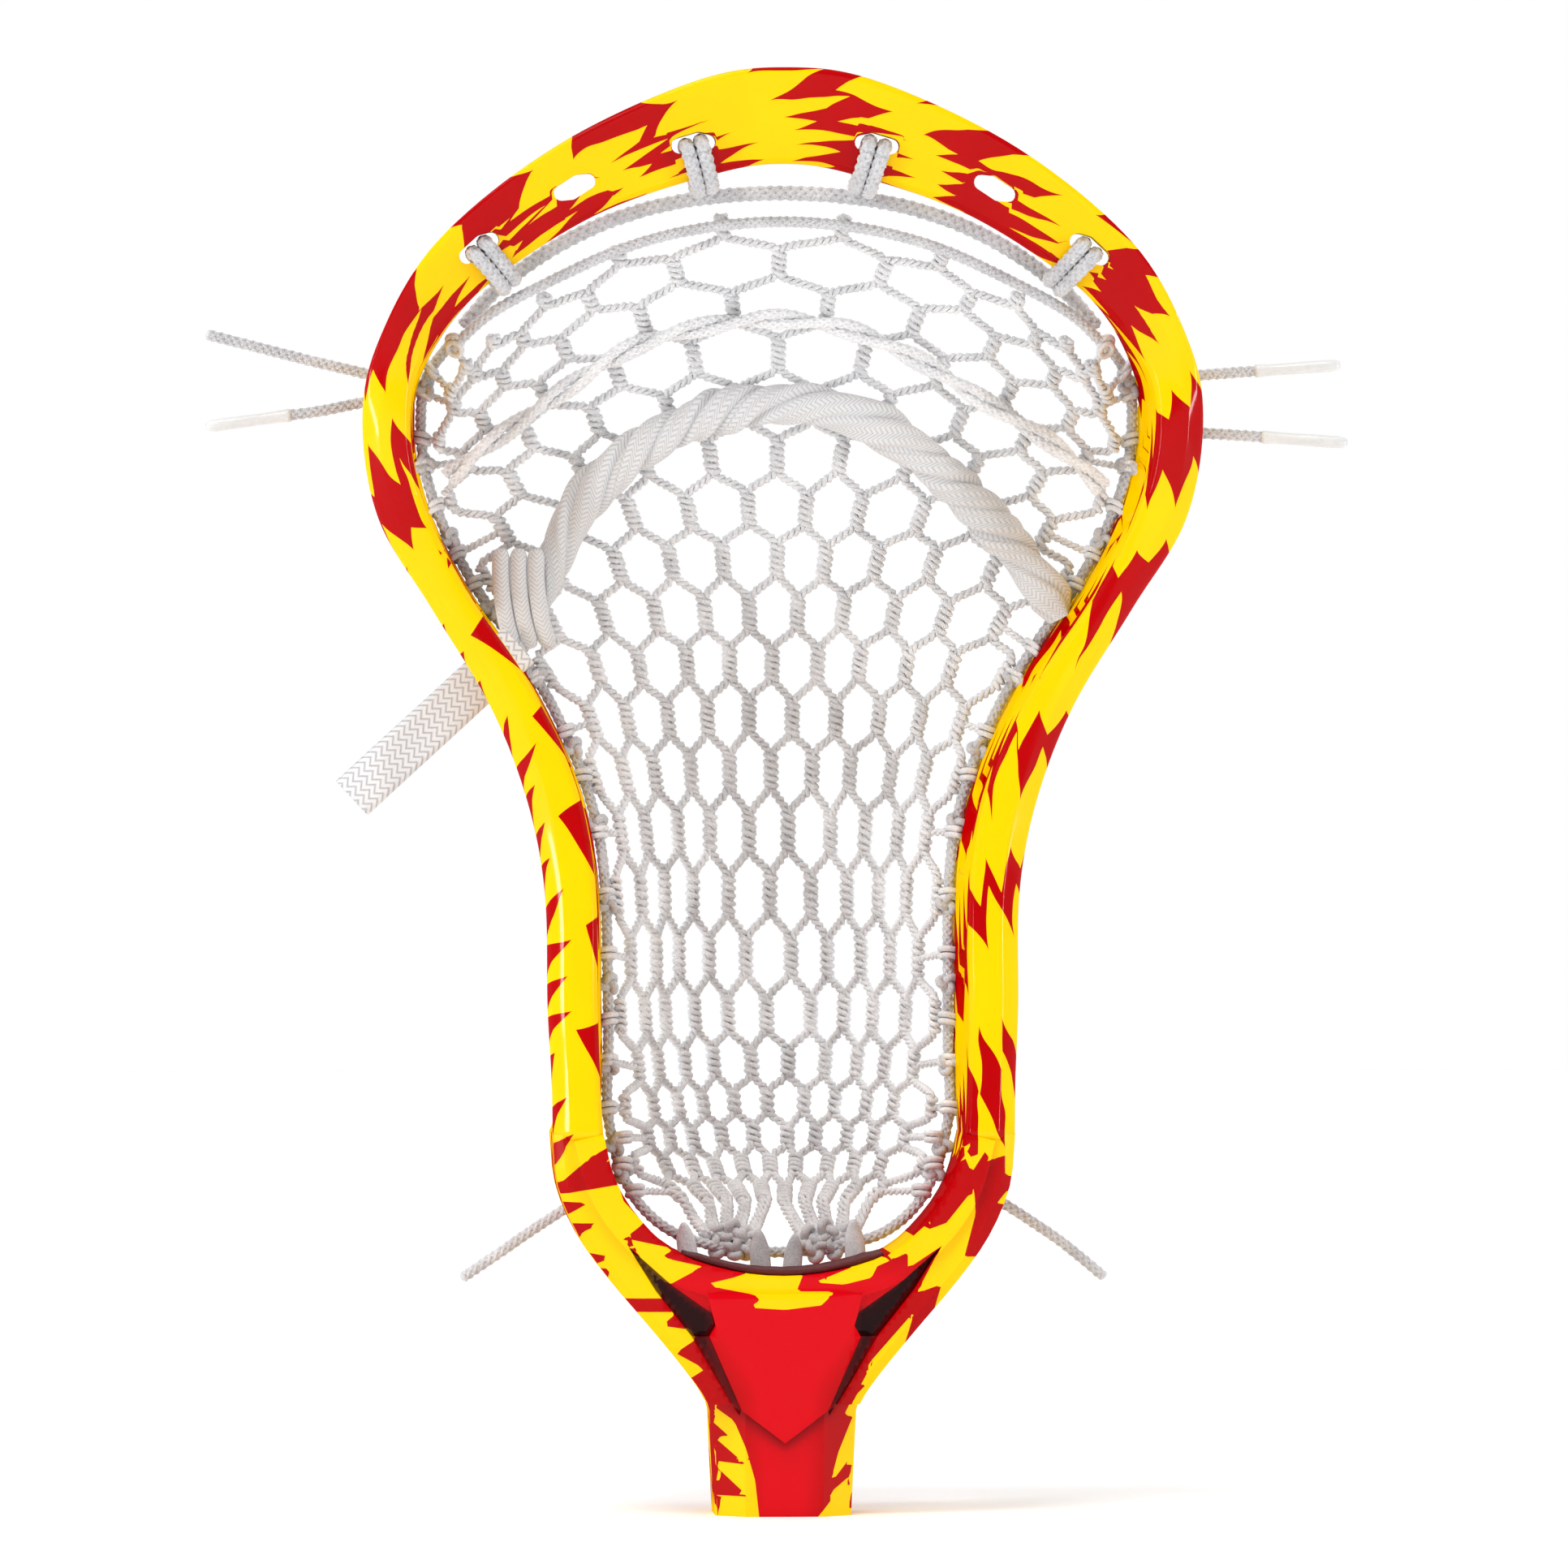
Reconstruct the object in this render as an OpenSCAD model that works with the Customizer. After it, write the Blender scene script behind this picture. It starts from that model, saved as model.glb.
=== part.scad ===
// Strung lacrosse head: a plastic hoop with a shaft socket, and a knitted pocket tied into it.
// +Z runs from the socket's open end to the scoop's tip, -Y is the open face that takes the ball,
// and the pocket hangs towards +Y. The origin is the centre of the socket's open end.

/* [Head] */
// Length from the socket's open end to the scoop's tip
head_length = 317.5; // [300:0.5:335]
// Width over the two sidewalls at their widest
head_width = 185.4; // [172:0.2:198]
// How far behind the shaft's axis the pocket's lowest point hangs
pocket_depth = 56; // [48:1:62]

/* [Frame section] */
// Thickness of the front rim, front to back
rim_depth = 7; // [5.5:0.1:8]
// Share of the rim's width that is flat, the rest being the outer bevel
rim_flat = 0.62; // [0.5:0.01:0.75]
// How far the outer bevel falls back
bevel_drop = 2.6; // [1.5:0.1:3.5]
// Thickness of the sidewall's web
web_t = 3.6; // [3:0.1:4.5]
// Width of the back rail that the strings pass through
rail_w = 6.2; // [5.5:0.1:7.5]
// How far the back rail leans inwards past the front rim
wall_lean = 2; // [0:0.1:3]
// Thickness of the scoop's lip
scoop_t = 4.6; // [4:0.1:5.5]
// How far the scoop's inner edge lies behind its outer edge
scoop_drop = 12; // [8:0.5:14]

/* [Holes] */
// Diameter of the string holes in the back rails
string_hole_d = 3.8; // [3:0.1:4.4]
// Number of string holes in each back rail
rail_holes = 9; // [6:1:10]
// Number of windows in each sidewall
windows = 4; // [3:1:4]
// Length of a sidewall window
window_length = 27; // [18:0.5:29]

/* [Socket] */
// Distance across the flats of the octagonal shaft
shaft_flats = 25.4; // [25:0.1:25.8]
// Total clearance between shaft and socket
shaft_clearance = 0.4; // [0.2:0.1:0.6]
// How far the shaft goes in
socket_depth = 44; // [36:1:44]
// Diameter of the hole for the shaft's screw
screw_hole_d = 4; // [3:0.1:5]
// Height of the screw hole above the socket's open end
screw_height = 16; // [10:1:24]

/* [Strings] */
// Diameter of the sidewall strings and of the loose ends
string_d = 2.4; // [2:0.1:3]
// Diameter of the cord looped through the scoop holes
loop_d = 3.2; // [2.6:0.1:3.4]
// Diameter of one strand of the nylon shooting string
nylon_d = 2.3; // [2:0.1:2.6]
// Turns that the two nylon strands make round each other
nylon_turns = 5; // [2:1:7]
// Thickness of the rolled shooting lace
lace_d = 8; // [6:0.5:9]
// Width of the flat lace
lace_width = 10.3; // [8:0.1:12]
// Thickness of the flat lace
lace_t = 1.6; // [1.2:0.1:2]
// Thickness of the knitted net
net_t = 2.4; // [2:0.1:3]
// Length of the tips on the loose ends
aglet_length = 19; // [15:1:20]
// Diameter of the tips on the loose ends
aglet_d = 2.9; // [2.6:0.1:3.4]

/* [Hidden] */
cut = 1;

// Everything above hoop_base stretches with the head's length and width.
hoop_base = 84;
nominal_length = 317.5;
nominal_width = 185.4;
stretch_x = head_width / nominal_width;
stretch_z = (head_length - hoop_base) / (nominal_length - hoop_base);
function wide(x, z) = x * (1 + (stretch_x - 1) * min(1, max(0, (z - hoop_base) / 60)));
function tall(z) = z < hoop_base ? z : hoop_base + (z - hoop_base) * stretch_z;
function fitted(p) = [wide(p.x, p.z), p.y, tall(p.z)];
function fitted_all(points) = [for (p = points) fitted(p)];
function mirrored(points) = [for (i = [len(points) - 1:-1:0]) [-points[i].x, points[i].y, points[i].z]];

// ---- Curves and sweeps ----

// A Catmull-Rom step from b to c
function between(a, b, c, d, t) =
  0.5 * (2 * b + (c - a) * t + (2 * a - 5 * b + 4 * c - d) * t * t + (3 * b - a - 3 * c + d) * t * t * t);

// A smooth run through a list of points or rows, with n steps from each to the next
function smooth(rows, n) = let (last = len(rows) - 1) [
  for (i = [0:last - 1])
    let (
      before = i > 0 ? rows[i - 1] : 2 * rows[0] - rows[1],
      after = i + 2 <= last ? rows[i + 2] : 2 * rows[last] - rows[last - 1])
      for (k = [0:n - 1]) between(before, rows[i], rows[i + 1], after, k / n),
  rows[last]];

function unit(v) = v / norm(v);

// Direction of a route at its point i
function heading(route, i, closed = false) = let (
  n = len(route),
  next = closed ? (i + 1) % n : min(i + 1, n - 1),
  previous = closed ? (i + n - 1) % n : max(i - 1, 0))
    unit(route[next] - route[previous]);

// The outline placed square to the route at point i: its x runs sideways and its y runs along facing
function ring_at(route, i, outline, facing, closed) = let (
  along = heading(route, i, closed),
  side = unit(cross(along, facing)),
  out = cross(side, along)) [for (p = outline) route[i] + side * p.x + out * p.y];

// Faces that close a ring of m points starting at first: one flat face, or strips across a curved end
function flat_cap(m, first) = [[for (k = [0:m - 1]) first + k]];
function strip_cap(m, first) = [
  for (k = [0:m / 2 - 2])
    let (a = first + k, b = a + 1, d = first + m - 1 - k, c = d - 1)
      each [[a, b, c], [a, c, d]]];
function turned_over(faces) = [for (f = faces) [for (i = [len(f) - 1:-1:0]) f[i]]];

// A closed solid from rings of equally many points
module loft(rings, closed = false, curved_ends = false) {
  m = len(rings[0]);
  n = len(rings);
  spans = closed ? n : n - 1;
  sides = [
    for (i = [0:spans - 1])
      for (k = [0:m - 1])
        let (
          ring = i * m,
          next_ring = (i + 1) % n * m,
          a = ring + k,
          b = ring + (k + 1) % m,
          c = next_ring + (k + 1) % m,
          d = next_ring + k)
            each [[a, b, c], [a, c, d]]];
  start = curved_ends ? strip_cap(m, 0) : flat_cap(m, 0);
  end = curved_ends ? strip_cap(m, (n - 1) * m) : flat_cap(m, (n - 1) * m);
  ends = closed ? [] : concat(turned_over(start), end);
  polyhedron([for (r = rings) each r], concat(sides, ends), convexity = 10);
}

module sweep(route, outline, facing = [0, 1, 0], closed = false)
  loft([for (i = [0:len(route) - 1]) ring_at(route, i, outline, facing, closed)], closed);

function round_outline(d, sides = 8) = [
  for (k = [0:sides - 1]) let (a = 360 / sides * (k + 0.5)) d / 2 * [cos(a), sin(a)]];

module cord(points, d, steps = 3, sides = 8)
  sweep(smooth(fitted_all(points), steps), round_outline(d, sides));

// ---- Hoop of scoop and sidewalls ----

// From the right arm's foot to the scoop's tip: outer edge x and z, inner edge x and z, front y,
// back y, how much the section is the scoop's lip, and how much it is the throat's full block
HALF_HOOP = [
  [50.8, 84, 39.8, 84, -16.3, 15, 0, 1],
  [51.3, 97, 40.6, 97, -14.6, 15.5, 0, 0.15],
  [52.1, 112, 41, 112, -12, 17, 0, 0],
  [52.6, 137, 41.4, 138.7, -9, 22.5, 0, 0],
  [56.5, 157.4, 45.6, 160.5, -8, 27, 0, 0],
  [64.5, 177.9, 55.7, 182.4, -8, 29.5, 0, 0],
  [77.4, 199.3, 70, 203.8, -9, 30.5, 0, 0],
  [89.1, 218.9, 79.3, 222.9, -11, 29.5, 0, 0],
  [92.7, 240.3, 82.2, 240.3, -14, 26, 0.05, 0],
  [89.1, 258.1, 79.1, 254, -17, 20, 0.45, 0],
  [76.3, 279.5, 66.2, 269.5, -21, 11, 1, 0],
  [50.8, 300, 41.6, 285.6, -24.5, 2, 1, 0],
  [20.5, 314.3, 15.4, 294.7, -26, 0, 1, 0],
  [0, 317.5, 0, 297, -26.3, 0, 1, 0]];
function stretched(r) = [
  wide(r[0], r[1]), tall(r[1]), wide(r[2], r[3]), tall(r[3]), r[4], r[5], r[6], r[7]];
function other_side(r) = [-r[0], r[1], -r[2], r[3], r[4], r[5], r[6], r[7]];
right_half = [for (r = HALF_HOOP) stretched(r)];
full_hoop = concat(right_half, [for (i = [len(right_half) - 2:-1:0]) other_side(right_half[i])]);
hoop_steps = 4;
// How far the section's square corners are cut back
edge_cut = 1.2;

function rim_width(r) = norm([r[0] - r[2], r[1] - r[3]]);
function outward(r) = [r[0] - r[2], 0, r[1] - r[3]] / rim_width(r);

// Section of a sidewall, as distance out from the inner edge and y: rim, web and back rail
function sidewall_section(r) = let (
  w = rim_width(r),
  front = r[4],
  back = r[5],
  block = r[7],
  web = web_t + (w - web_t) * block,
  rail = rail_w + (w - rail_w) * block,
  lean = wall_lean * (1 - block) / (back - front)) [
    for (p = [
      [0, front + edge_cut], [1, front], [rim_flat * w, front], [w - 0.7, front + bevel_drop - 0.3],
      [w, front + bevel_drop + 0.6], [w, front + rim_depth - edge_cut], [w - 1, front + rim_depth],
      [min(web + 2, w), front + rim_depth + 0.6], [web, front + rim_depth + 3.5], [web, back - 9.5],
      [max(rail - 0.8, web), back - 7], [rail, back - 5.6], [rail, back - edge_cut],
      [rail - edge_cut, back], [edge_cut, back], [0, back - edge_cut]])
        [p.x - lean * (p.y - front), p.y]];

// Section of the scoop's lip, with the same number of points in the same order
function scoop_section(r) = let (
  w = rim_width(r),
  face = function(x) r[4] + scoop_drop * (1 - x / w)) concat(
    [[0, face(0) + edge_cut], [1, face(1)], [rim_flat * w, face(rim_flat * w)],
      [w - 1.4, face(w - 1.4) + 0.2], [w, face(w) + 1.3], [w, face(w) + 2.6],
      [w - 1.4, face(w) + scoop_t - 0.4]],
    [for (x = [0.78, 0.65, 0.52, 0.4, 0.3, 0.22, 0.14]) [x * w, face(x * w) + scoop_t]],
    [[edge_cut, face(edge_cut) + scoop_t], [0, face(0) + scoop_t - edge_cut]]);

function hoop_ring(r) = let (
  wall = sidewall_section(r),
  lip = scoop_section(r),
  share = min(1, max(0, r[6])),
  out = outward(r)) [
    for (i = [0:len(wall) - 1])
      let (p = wall[i] * (1 - share) + lip[i] * share)
        [r[2] + out.x * p.x, p.y, r[3] + out.z * p.x]];

// Row of the right half at any place between two of its listed rows
function row_at(place) = let (
  i = min(floor(place), len(right_half) - 2),
  before = i > 0 ? right_half[i - 1] : 2 * right_half[0] - right_half[1],
  after = full_hoop[i + 2])
    between(before, right_half[i], right_half[i + 1], after, place - i);

// Turns its children so that local z points out through the right sidewall and local x runs down it
module at_wall(place, y) {
  r = row_at(place);
  out = outward(r);
  translate([r[2], y, r[3]]) rotate([0, 90 - atan2(out.z, out.x), 0]) children();
}

// The hole runs through the middle of the rail's outer face, between the section's points 11 and 12
module string_hole(place) {
  rail = hoop_ring(row_at(place));
  at_wall(place, (rail[11].y + rail[12].y) / 2)
    translate([0, 0, -rail_w]) cylinder(d = string_hole_d, h = 3 * rail_w, $fn = 14);
}

// Height of web left in front of a window and behind it, its corners' radius, and how far it slants
window_front_gap = 3;
window_back_gap = 8.5;
window_corner = 2;
window_lean = 3;

// A slanted opening with round corners through the web
module window(place) {
  r = row_at(place);
  low = r[4] + rim_depth + window_front_gap;
  high = r[5] - window_back_gap;
  half_x = window_length / 2 - window_corner - window_lean;
  half_y = (high - low) / 2 - window_corner;
  at_wall(place, (low + high) / 2) hull()
    for (up = [-1, 1])
      for (side = [-1, 1])
        translate([up * half_x + side * window_lean, side * half_y, -rail_w])
          cylinder(r = window_corner, h = 3 * rail_w, $fn = 16);
}

// Scoop holes: places along the right half, and the distance out from the inner edge to their centres
scoop_hole_places = [10.2, 10.98, 11.88];
scoop_hole_out = 7.4;
scoop_hole_corner = 1.2;
scoop_hole_near = 1.4;
scoop_hole_far = 3.75;
scoop_hole_height = 1;

// Turns its children so that local x runs along the rim, local z out across it and local y back
module at_lip(place) {
  r = row_at(place);
  out = outward(r);
  face = r[4] + scoop_drop * (1 - scoop_hole_out / rim_width(r));
  translate([r[2] + out.x * scoop_hole_out, face, r[3] + out.z * scoop_hole_out])
    rotate([0, 90 - atan2(out.z, out.x), 0]) children();
}

// A parallelogram with round corners, right through the lip
module scoop_hole(place)
  at_lip(place) rotate([90, 0, 0]) hull()
    for (side = [-1, 1])
      for (x = [-scoop_hole_near, scoop_hole_far])
        translate([side * x, side * scoop_hole_height, 0])
          cylinder(r = scoop_hole_corner, h = 90, center = true, $fn = 16);

// Places of the first and last window and string hole along the right half
window_places = [2, 7.1];
string_hole_places = [1.6, 8.3];
function spread(ends, i, count) = ends[0] + (ends[1] - ends[0]) * i / (count - 1);

module hoop_cuts() {
  for (i = [0:windows - 1]) window(spread(window_places, i, windows));
  for (i = [0:rail_holes - 1]) string_hole(spread(string_hole_places, i, rail_holes));
  for (place = scoop_hole_places) scoop_hole(place);
}

module scoop_and_sidewalls() color("gold") difference() {
  loft([for (r = reversed(smooth(full_hoop, hoop_steps))) hoop_ring(r)]);
  hoop_cuts();
  mirror([1, 0, 0]) hoop_cuts();
}

// ---- Throat and socket ----

// Front view of the right half, x and z: the arch under the pocket, then the outside to the mouth
ARCH = [[0, 52.8], [11.6, 54], [23.5, 58], [31.8, 65.4], [37.2, 74], [39.8, 84]];
OUTSIDE = [[50.8, 84], [49.6, 72.5], [45, 61.5], [38, 51.6], [29, 41], [20.8, 31], [16.6, 24.6], [16, 20]];
mouth_half = 14.95;
throat_front = -15;
throat_back = 15;
band_rise = 1.3;
band_width = 6.6;
shield_rise = 2;

function reversed(list) = [for (i = [len(list) - 1:-1:0]) list[i]];
function flipped(points) = [for (p = reversed(points)) [-p.x, p.y]];
function tail_of(list) = [for (i = [1:len(list) - 1]) list[i]];
arch_line = smooth(concat(flipped(tail_of(ARCH)), ARCH), 3);
outside_line = smooth(OUTSIDE, 3);

// A front-view outline made solid between two values of y
module between_y(from, to) translate([0, to, 0]) rotate([90, 0, 0]) linear_extrude(to - from) children();

module throat_outline()
  polygon(concat(arch_line, outside_line, [[mouth_half, 0], [-mouth_half, 0]], flipped(outside_line)));

// The strip of the outline that lies within band_width of the arch
module band_outline() {
  under = [
    for (i = [len(arch_line) - 1:-1:0])
      let (d = heading(arch_line, i))
        arch_line[i] + band_width * [d.y, -d.x]];
  polygon(concat(arch_line, under));
}

SHIELD = [[0, 16.2], [9.5, 23.4], [16.6, 39.6], [15.2, 42], [16, 44.7], [17, 49]];
module shield_outline() polygon(concat(SHIELD, flipped(tail_of(SHIELD))));

GROOVE = [[34.4, 59.4], [24.8, 50.9], [16, 44.7], [15.2, 42], [16.6, 39.6], [9.5, 23.4], [9.9, 22.2],
  [13.8, 28.4], [20.4, 39.6], [28.3, 49.6]];
DEEP_GROOVE = [[34.4, 59.4], [24.8, 50.9], [16, 44.7], [15.2, 42], [16.6, 39.6], [20.4, 39.6],
  [28.3, 49.6]];
groove_floor = -12.6;
deep_groove_floor = -8;

// Bevel along one straight run of the outside: inset in the front view, drop along y
module edge_bevel(p, q, face, inset, drop) {
  over = 0.6;
  run = norm(q - p);
  sign = face < 0 ? 1 : -1;
  translate([p.x, 0, p.y]) rotate([0, -atan2(q.y - p.y, q.x - p.x), 0])
    translate([-over, 0, 0]) rotate([90, 0, 90]) linear_extrude(run + 2 * over)
      polygon([
        [face - sign * cut, inset * (1 + cut / drop)],
        [face - sign * cut, -cut],
        [face + sign * drop * (1 + cut / inset), -cut]]);
}

front_bevel_inset = 4.18;
back_bevel = 2;

module outside_bevels() {
  line = reversed(outside_line);
  for (i = [0:len(line) - 2]) {
    edge_bevel(line[i], line[i + 1], throat_front - band_rise, front_bevel_inset, bevel_drop);
    edge_bevel(line[i], line[i + 1], throat_back, back_bevel, back_bevel);
  }
}

module octagon(flats) intersection() {
  square(flats, center = true);
  rotate(45) square(flats, center = true);
}

socket_flats = shaft_flats + shaft_clearance;
collar_height = 24.6;
collar_corner = 33.4;
boss_d = 9;
boss_face = 16.2;

module socket_hollow()
  translate([0, 0, -cut]) linear_extrude(socket_depth + cut) octagon(socket_flats);

// Cuts the collar's four upright corners
module collar_corners()
  for (turn = [45:90:315])
    rotate(turn) translate([collar_corner / 2, -collar_corner / 2, -cut])
      cube([collar_corner, collar_corner, collar_height + cut]);

// Holes for the bottom string slant from the arch to the throat's back: x and height of each
ARCH_HOLES = [[-17, 52.4], [-3.4, 50], [3.4, 50], [17, 52.4]];
arch_hole_back = 12;
module arch_string_holes()
  for (p = ARCH_HOLES)
    translate([p.x, arch_hole_back, p.y]) rotate([-45, 0, 0])
      cylinder(d = string_hole_d, h = 24, center = true, $fn = 24);

BACK_RECESS = [[0, 27], [8, 30], [21, 45], [0, 47]];
back_recess_depth = 1.2;

module throat_and_socket() color("red") difference() {
  union() {
    difference() {
      union() {
        between_y(throat_front, throat_back) throat_outline();
        between_y(throat_front - band_rise, throat_front + cut) intersection() {
          band_outline();
          throat_outline();
        }
      }
      outside_bevels();
      mirror([1, 0, 0]) outside_bevels();
      collar_corners();
    }
    between_y(throat_front - shield_rise, throat_front + cut) intersection() {
      shield_outline();
      throat_outline();
    }
    translate([0, boss_face, screw_height]) rotate([90, 0, 0])
      cylinder(d = boss_d, h = 3, $fn = 48);
  }
  for (side = [0, 1]) mirror([side, 0, 0]) {
    between_y(throat_front - 5, groove_floor) polygon(GROOVE);
    between_y(throat_front - 5, deep_groove_floor) polygon(DEEP_GROOVE);
    between_y(throat_back - back_recess_depth, throat_back + cut) polygon(BACK_RECESS);
  }
  socket_hollow();
  translate([0, throat_back + 5, screw_height]) rotate([90, 0, 0])
    cylinder(d = screw_hole_d, h = 12, $fn = 32);
  arch_string_holes();
}

// ---- Ball stop ----

stop_half = 22.5;
stop_front = -13;
stop_back = 6;
stop_t = 1.4;
module ball_stop() color("maroon") {
  line = [for (p = arch_line) if (abs(p.x) <= stop_half) p];
  last = len(line) - 1;
  top = [for (i = [last:-1:0]) line[i] + [0, stop_t * (i == 0 || i == last ? 0.5 : 1)]];
  between_y(stop_front, stop_back) polygon(concat(line, top));
}

// ---- Mesh pocket ----

// From the throat to the scoop: centre z, half width, how far the edges drop below the centre,
// centre y as a share of the pocket's depth, and edge y
POCKET = [
  [64, 20, -1, 0.26, 12],
  [70, 28, -1, 0.6, 12.5],
  [77, 32.5, -1, 0.84, 13],
  [90, 34, 0, 0.96, 13],
  [110, 35, 0, 1, 14],
  [132, 35.4, 0, 0.97, 17],
  [156, 38.2, 1, 0.87, 21.5],
  [182, 47.8, 2, 0.72, 24],
  [208, 63, 4, 0.54, 25],
  [234, 72.5, 10, 0.36, 22.5],
  [262, 75, 22, 0.16, 15],
  [287, 70, 34, -0.09, 3]];
pocket_rows = smooth(POCKET, 3);
pocket_columns = 18;
// How bluntly the pocket's hollow rises to its edges
pocket_power = 2.2;

// The pocket's middle surface at row i and column j
function pocket_point(i, j) = let (
  row = pocket_rows[i],
  u = -1 + 2 * j / pocket_columns,
  fall = pow(abs(u), pocket_power))
    fitted([row[1] * u, row[4] + (row[3] * pocket_depth - row[4]) * (1 - fall), row[0] - row[2] * fall]);
function pocket_normal(i, j) = let (
  across = pocket_point(i, min(j + 1, pocket_columns)) - pocket_point(i, max(j - 1, 0)),
  along = pocket_point(min(i + 1, len(pocket_rows) - 1), j) - pocket_point(max(i - 1, 0), j))
    unit(cross(along, across));
function pocket_ring(i) = let (
  off = [for (j = [0:pocket_columns]) net_t / 2 * pocket_normal(i, j)]) concat(
    [for (j = [0:pocket_columns]) pocket_point(i, j) + off[j]],
    [for (j = [pocket_columns:-1:0]) pocket_point(i, j) - off[j]]);

module mesh_pocket() color("whitesmoke")
  loft([for (i = [0:len(pocket_rows) - 1]) pocket_ring(i)], curved_ends = true);

// ---- Strings ----

TOP_UPPER = [[-70, 4, 262], [-62, 1.5, 270.5], [-50, -1.5, 279], [-36, -3, 285.5], [-20, -3.5, 289.5],
  [0, -3.5, 291]];
TOP_LOWER = [[-72, 2, 257.5], [-64, -2, 264.5], [-50, -4, 272], [-34, -6, 279], [-18, -7, 283],
  [0, -7.5, 284.5]];
SIDE_STRING = [[38, 11, 90], [37.7, 12, 104], [37.8, 14, 120], [38.1, 17, 136], [39.6, 20, 150],
  [43.5, 22, 164], [49.7, 23, 178], [57.4, 24, 191], [66.4, 24, 204], [73.5, 23, 217], [78, 21, 230],
  [79.1, 18, 242]];
BOTTOM_STRING = [[-35, 12.5, 75], [-31, 11, 68], [-25, 10, 62.5], [-18, 10, 59.5], [-9, 12, 57.6],
  [0, 13, 57], [9, 12, 57.6], [18, 10, 59.5], [25, 10, 62.5], [31, 11, 68], [35, 12.5, 75]];
NYLON = [[-73, 17, 228.5], [-68, 15.5, 233], [-60, 13, 239], [-46, 9.5, 249], [-32, 6, 257.5],
  [-16, 4.5, 262], [0, 4, 263.5], [16, 5, 261], [32, 7.5, 254], [46, 10.5, 245.5], [60, 13.5, 237],
  [68, 16, 231], [72.5, 17.5, 226.5]];
LACE = [[-48.5, 19.5, 213], [-44.5, 18, 221], [-36, 14.5, 231], [-24, 12, 239], [-12, 10.5, 243.5],
  [0, 10, 245], [14, 10.5, 243.5], [28, 13, 236.5], [42, 17, 225], [53, 20, 213], [59.5, 19.5, 204.5]];
LACE_LOOP = [[-57.5, 15, 213], [-57.5, 15.5, 206], [-56.5, 16, 198], [-54.5, 17, 191]];
LACE_TAIL = [[-57.5, 12.5, 191.5], [-61, 12, 188.4], [-67, 11.5, 183], [-76, 11, 174.7], [-85.5, 10.5, 166],
  [-94.5, 10, 157.7]];

// Loose ends, each from the frame's outside to its free end or to its tip
UPPER_LEFT = [[-87, 14.5, 250.5], [-93, 13.5, 252], [-104, 12, 254.5], [-116, 11.5, 257.5],
  [-126, 11, 260]];
LOWER_LEFT = [[-88, 18.5, 246], [-94, 17.5, 245], [-101, 16.5, 243.5], [-108, 16, 242.5]];
UPPER_RIGHT = [[87, 14.5, 250.5], [93, 13.5, 251.5], [99, 12.5, 252], [106, 12, 252.5]];
LOWER_RIGHT = [[88.5, 19.5, 240], [94, 18, 239], [101, 17, 238.5], [108, 16, 238]];
BOTTOM_LEFT = [[-40, 18.5, 71], [-47, 19, 66.5], [-54, 19, 62], [-62, 18.5, 56.5], [-69.5, 18, 51.5]];
BOTTOM_RIGHT = [[40, 18.5, 73], [48, 19, 69], [56, 19, 64], [64, 18.5, 58.5], [72.5, 18, 51.5]];

// One turn of cord from a scoop hole round the strip of plastic inside it and past the inner edge.
// Its corners are distances across the rim and back from the lip's face at the hole.
loop_gap = 0.3;
loop_bend = 2;
loop_top = -0.1;
loop_bottom = -9.8;
module scoop_loop(place, shift) {
  slope = scoop_drop / rim_width(row_at(place));
  stand = (loop_d / 2 + loop_gap) * sqrt(1 + slope * slope);
  front = function(z) -z * slope - stand;
  back = function(z) -z * slope + scoop_t + stand;
  near_top = loop_top - loop_bend;
  near_bottom = loop_bottom + loop_bend;
  corners = [
    [near_top, front(near_top)],
    [loop_top, front(loop_top) + loop_bend],
    [loop_top, back(loop_top) - loop_bend],
    [near_top, back(near_top)],
    [near_bottom, back(near_bottom)],
    [loop_bottom, back(loop_bottom) - loop_bend],
    [loop_bottom, front(loop_bottom) + loop_bend],
    [near_bottom, front(near_bottom)]];
  at_lip(place)
    sweep([for (c = corners) [shift, c.y, c.x]], round_outline(loop_d), [1, 0, 0], true);
}

module top_string() color("lightgrey") {
  half = fitted_all(TOP_UPPER);
  low = fitted_all(TOP_LOWER);
  sweep(smooth(concat(half, tail_of(mirrored(half))), 3), round_outline(loop_d));
  sweep(smooth(concat(low, tail_of(mirrored(low))), 3), round_outline(string_d));
}

// The two turns in a hole lie this share of their thickness to either side of its middle
loop_shift = 0.53;
module top_string_loops() color("lightgrey")
  for (side = [0, 1])
    mirror([side, 0, 0])
      for (place = [scoop_hole_places[0], scoop_hole_places[2]])
        for (shift = [-loop_shift, loop_shift])
          scoop_loop(place, shift * loop_d);

module right_sidewall_string() color("white") cord(SIDE_STRING, string_d);
module left_sidewall_string() color("white") mirror([1, 0, 0]) cord(SIDE_STRING, string_d);
module bottom_string() color("white") cord(BOTTOM_STRING, string_d);

// One of two strands twisted round a shared route
function strand(route, turns, phase, off) = [
  for (i = [0:len(route) - 1])
    let (
      along = heading(route, i),
      side = unit(cross(along, [0, 1, 0])),
      out = cross(side, along),
      turn = phase + 360 * turns * i / (len(route) - 1))
        route[i] + off * (side * cos(turn) + out * sin(turn))];

nylon_gap = 0.1;
module nylon_strand(phase) {
  middle = smooth(fitted_all(NYLON), 5);
  off = (nylon_d + nylon_gap) / 2;
  sweep(strand(middle, nylon_turns, phase, off), round_outline(nylon_d));
}

module nylon_shooter_front() color("gainsboro") nylon_strand(0);
module nylon_shooter_back() color("gainsboro") nylon_strand(180);
module shooting_lace() color("gainsboro") cord(LACE, lace_d, 3, 10);

strip_pitch = 3.9;
strip_d = 3.6;
module lace_end_loops() color("gainsboro")
  for (i = [-1:1])
    cord([for (p = LACE_LOOP) p + [i * strip_pitch, 0, 0]], strip_d);

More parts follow.
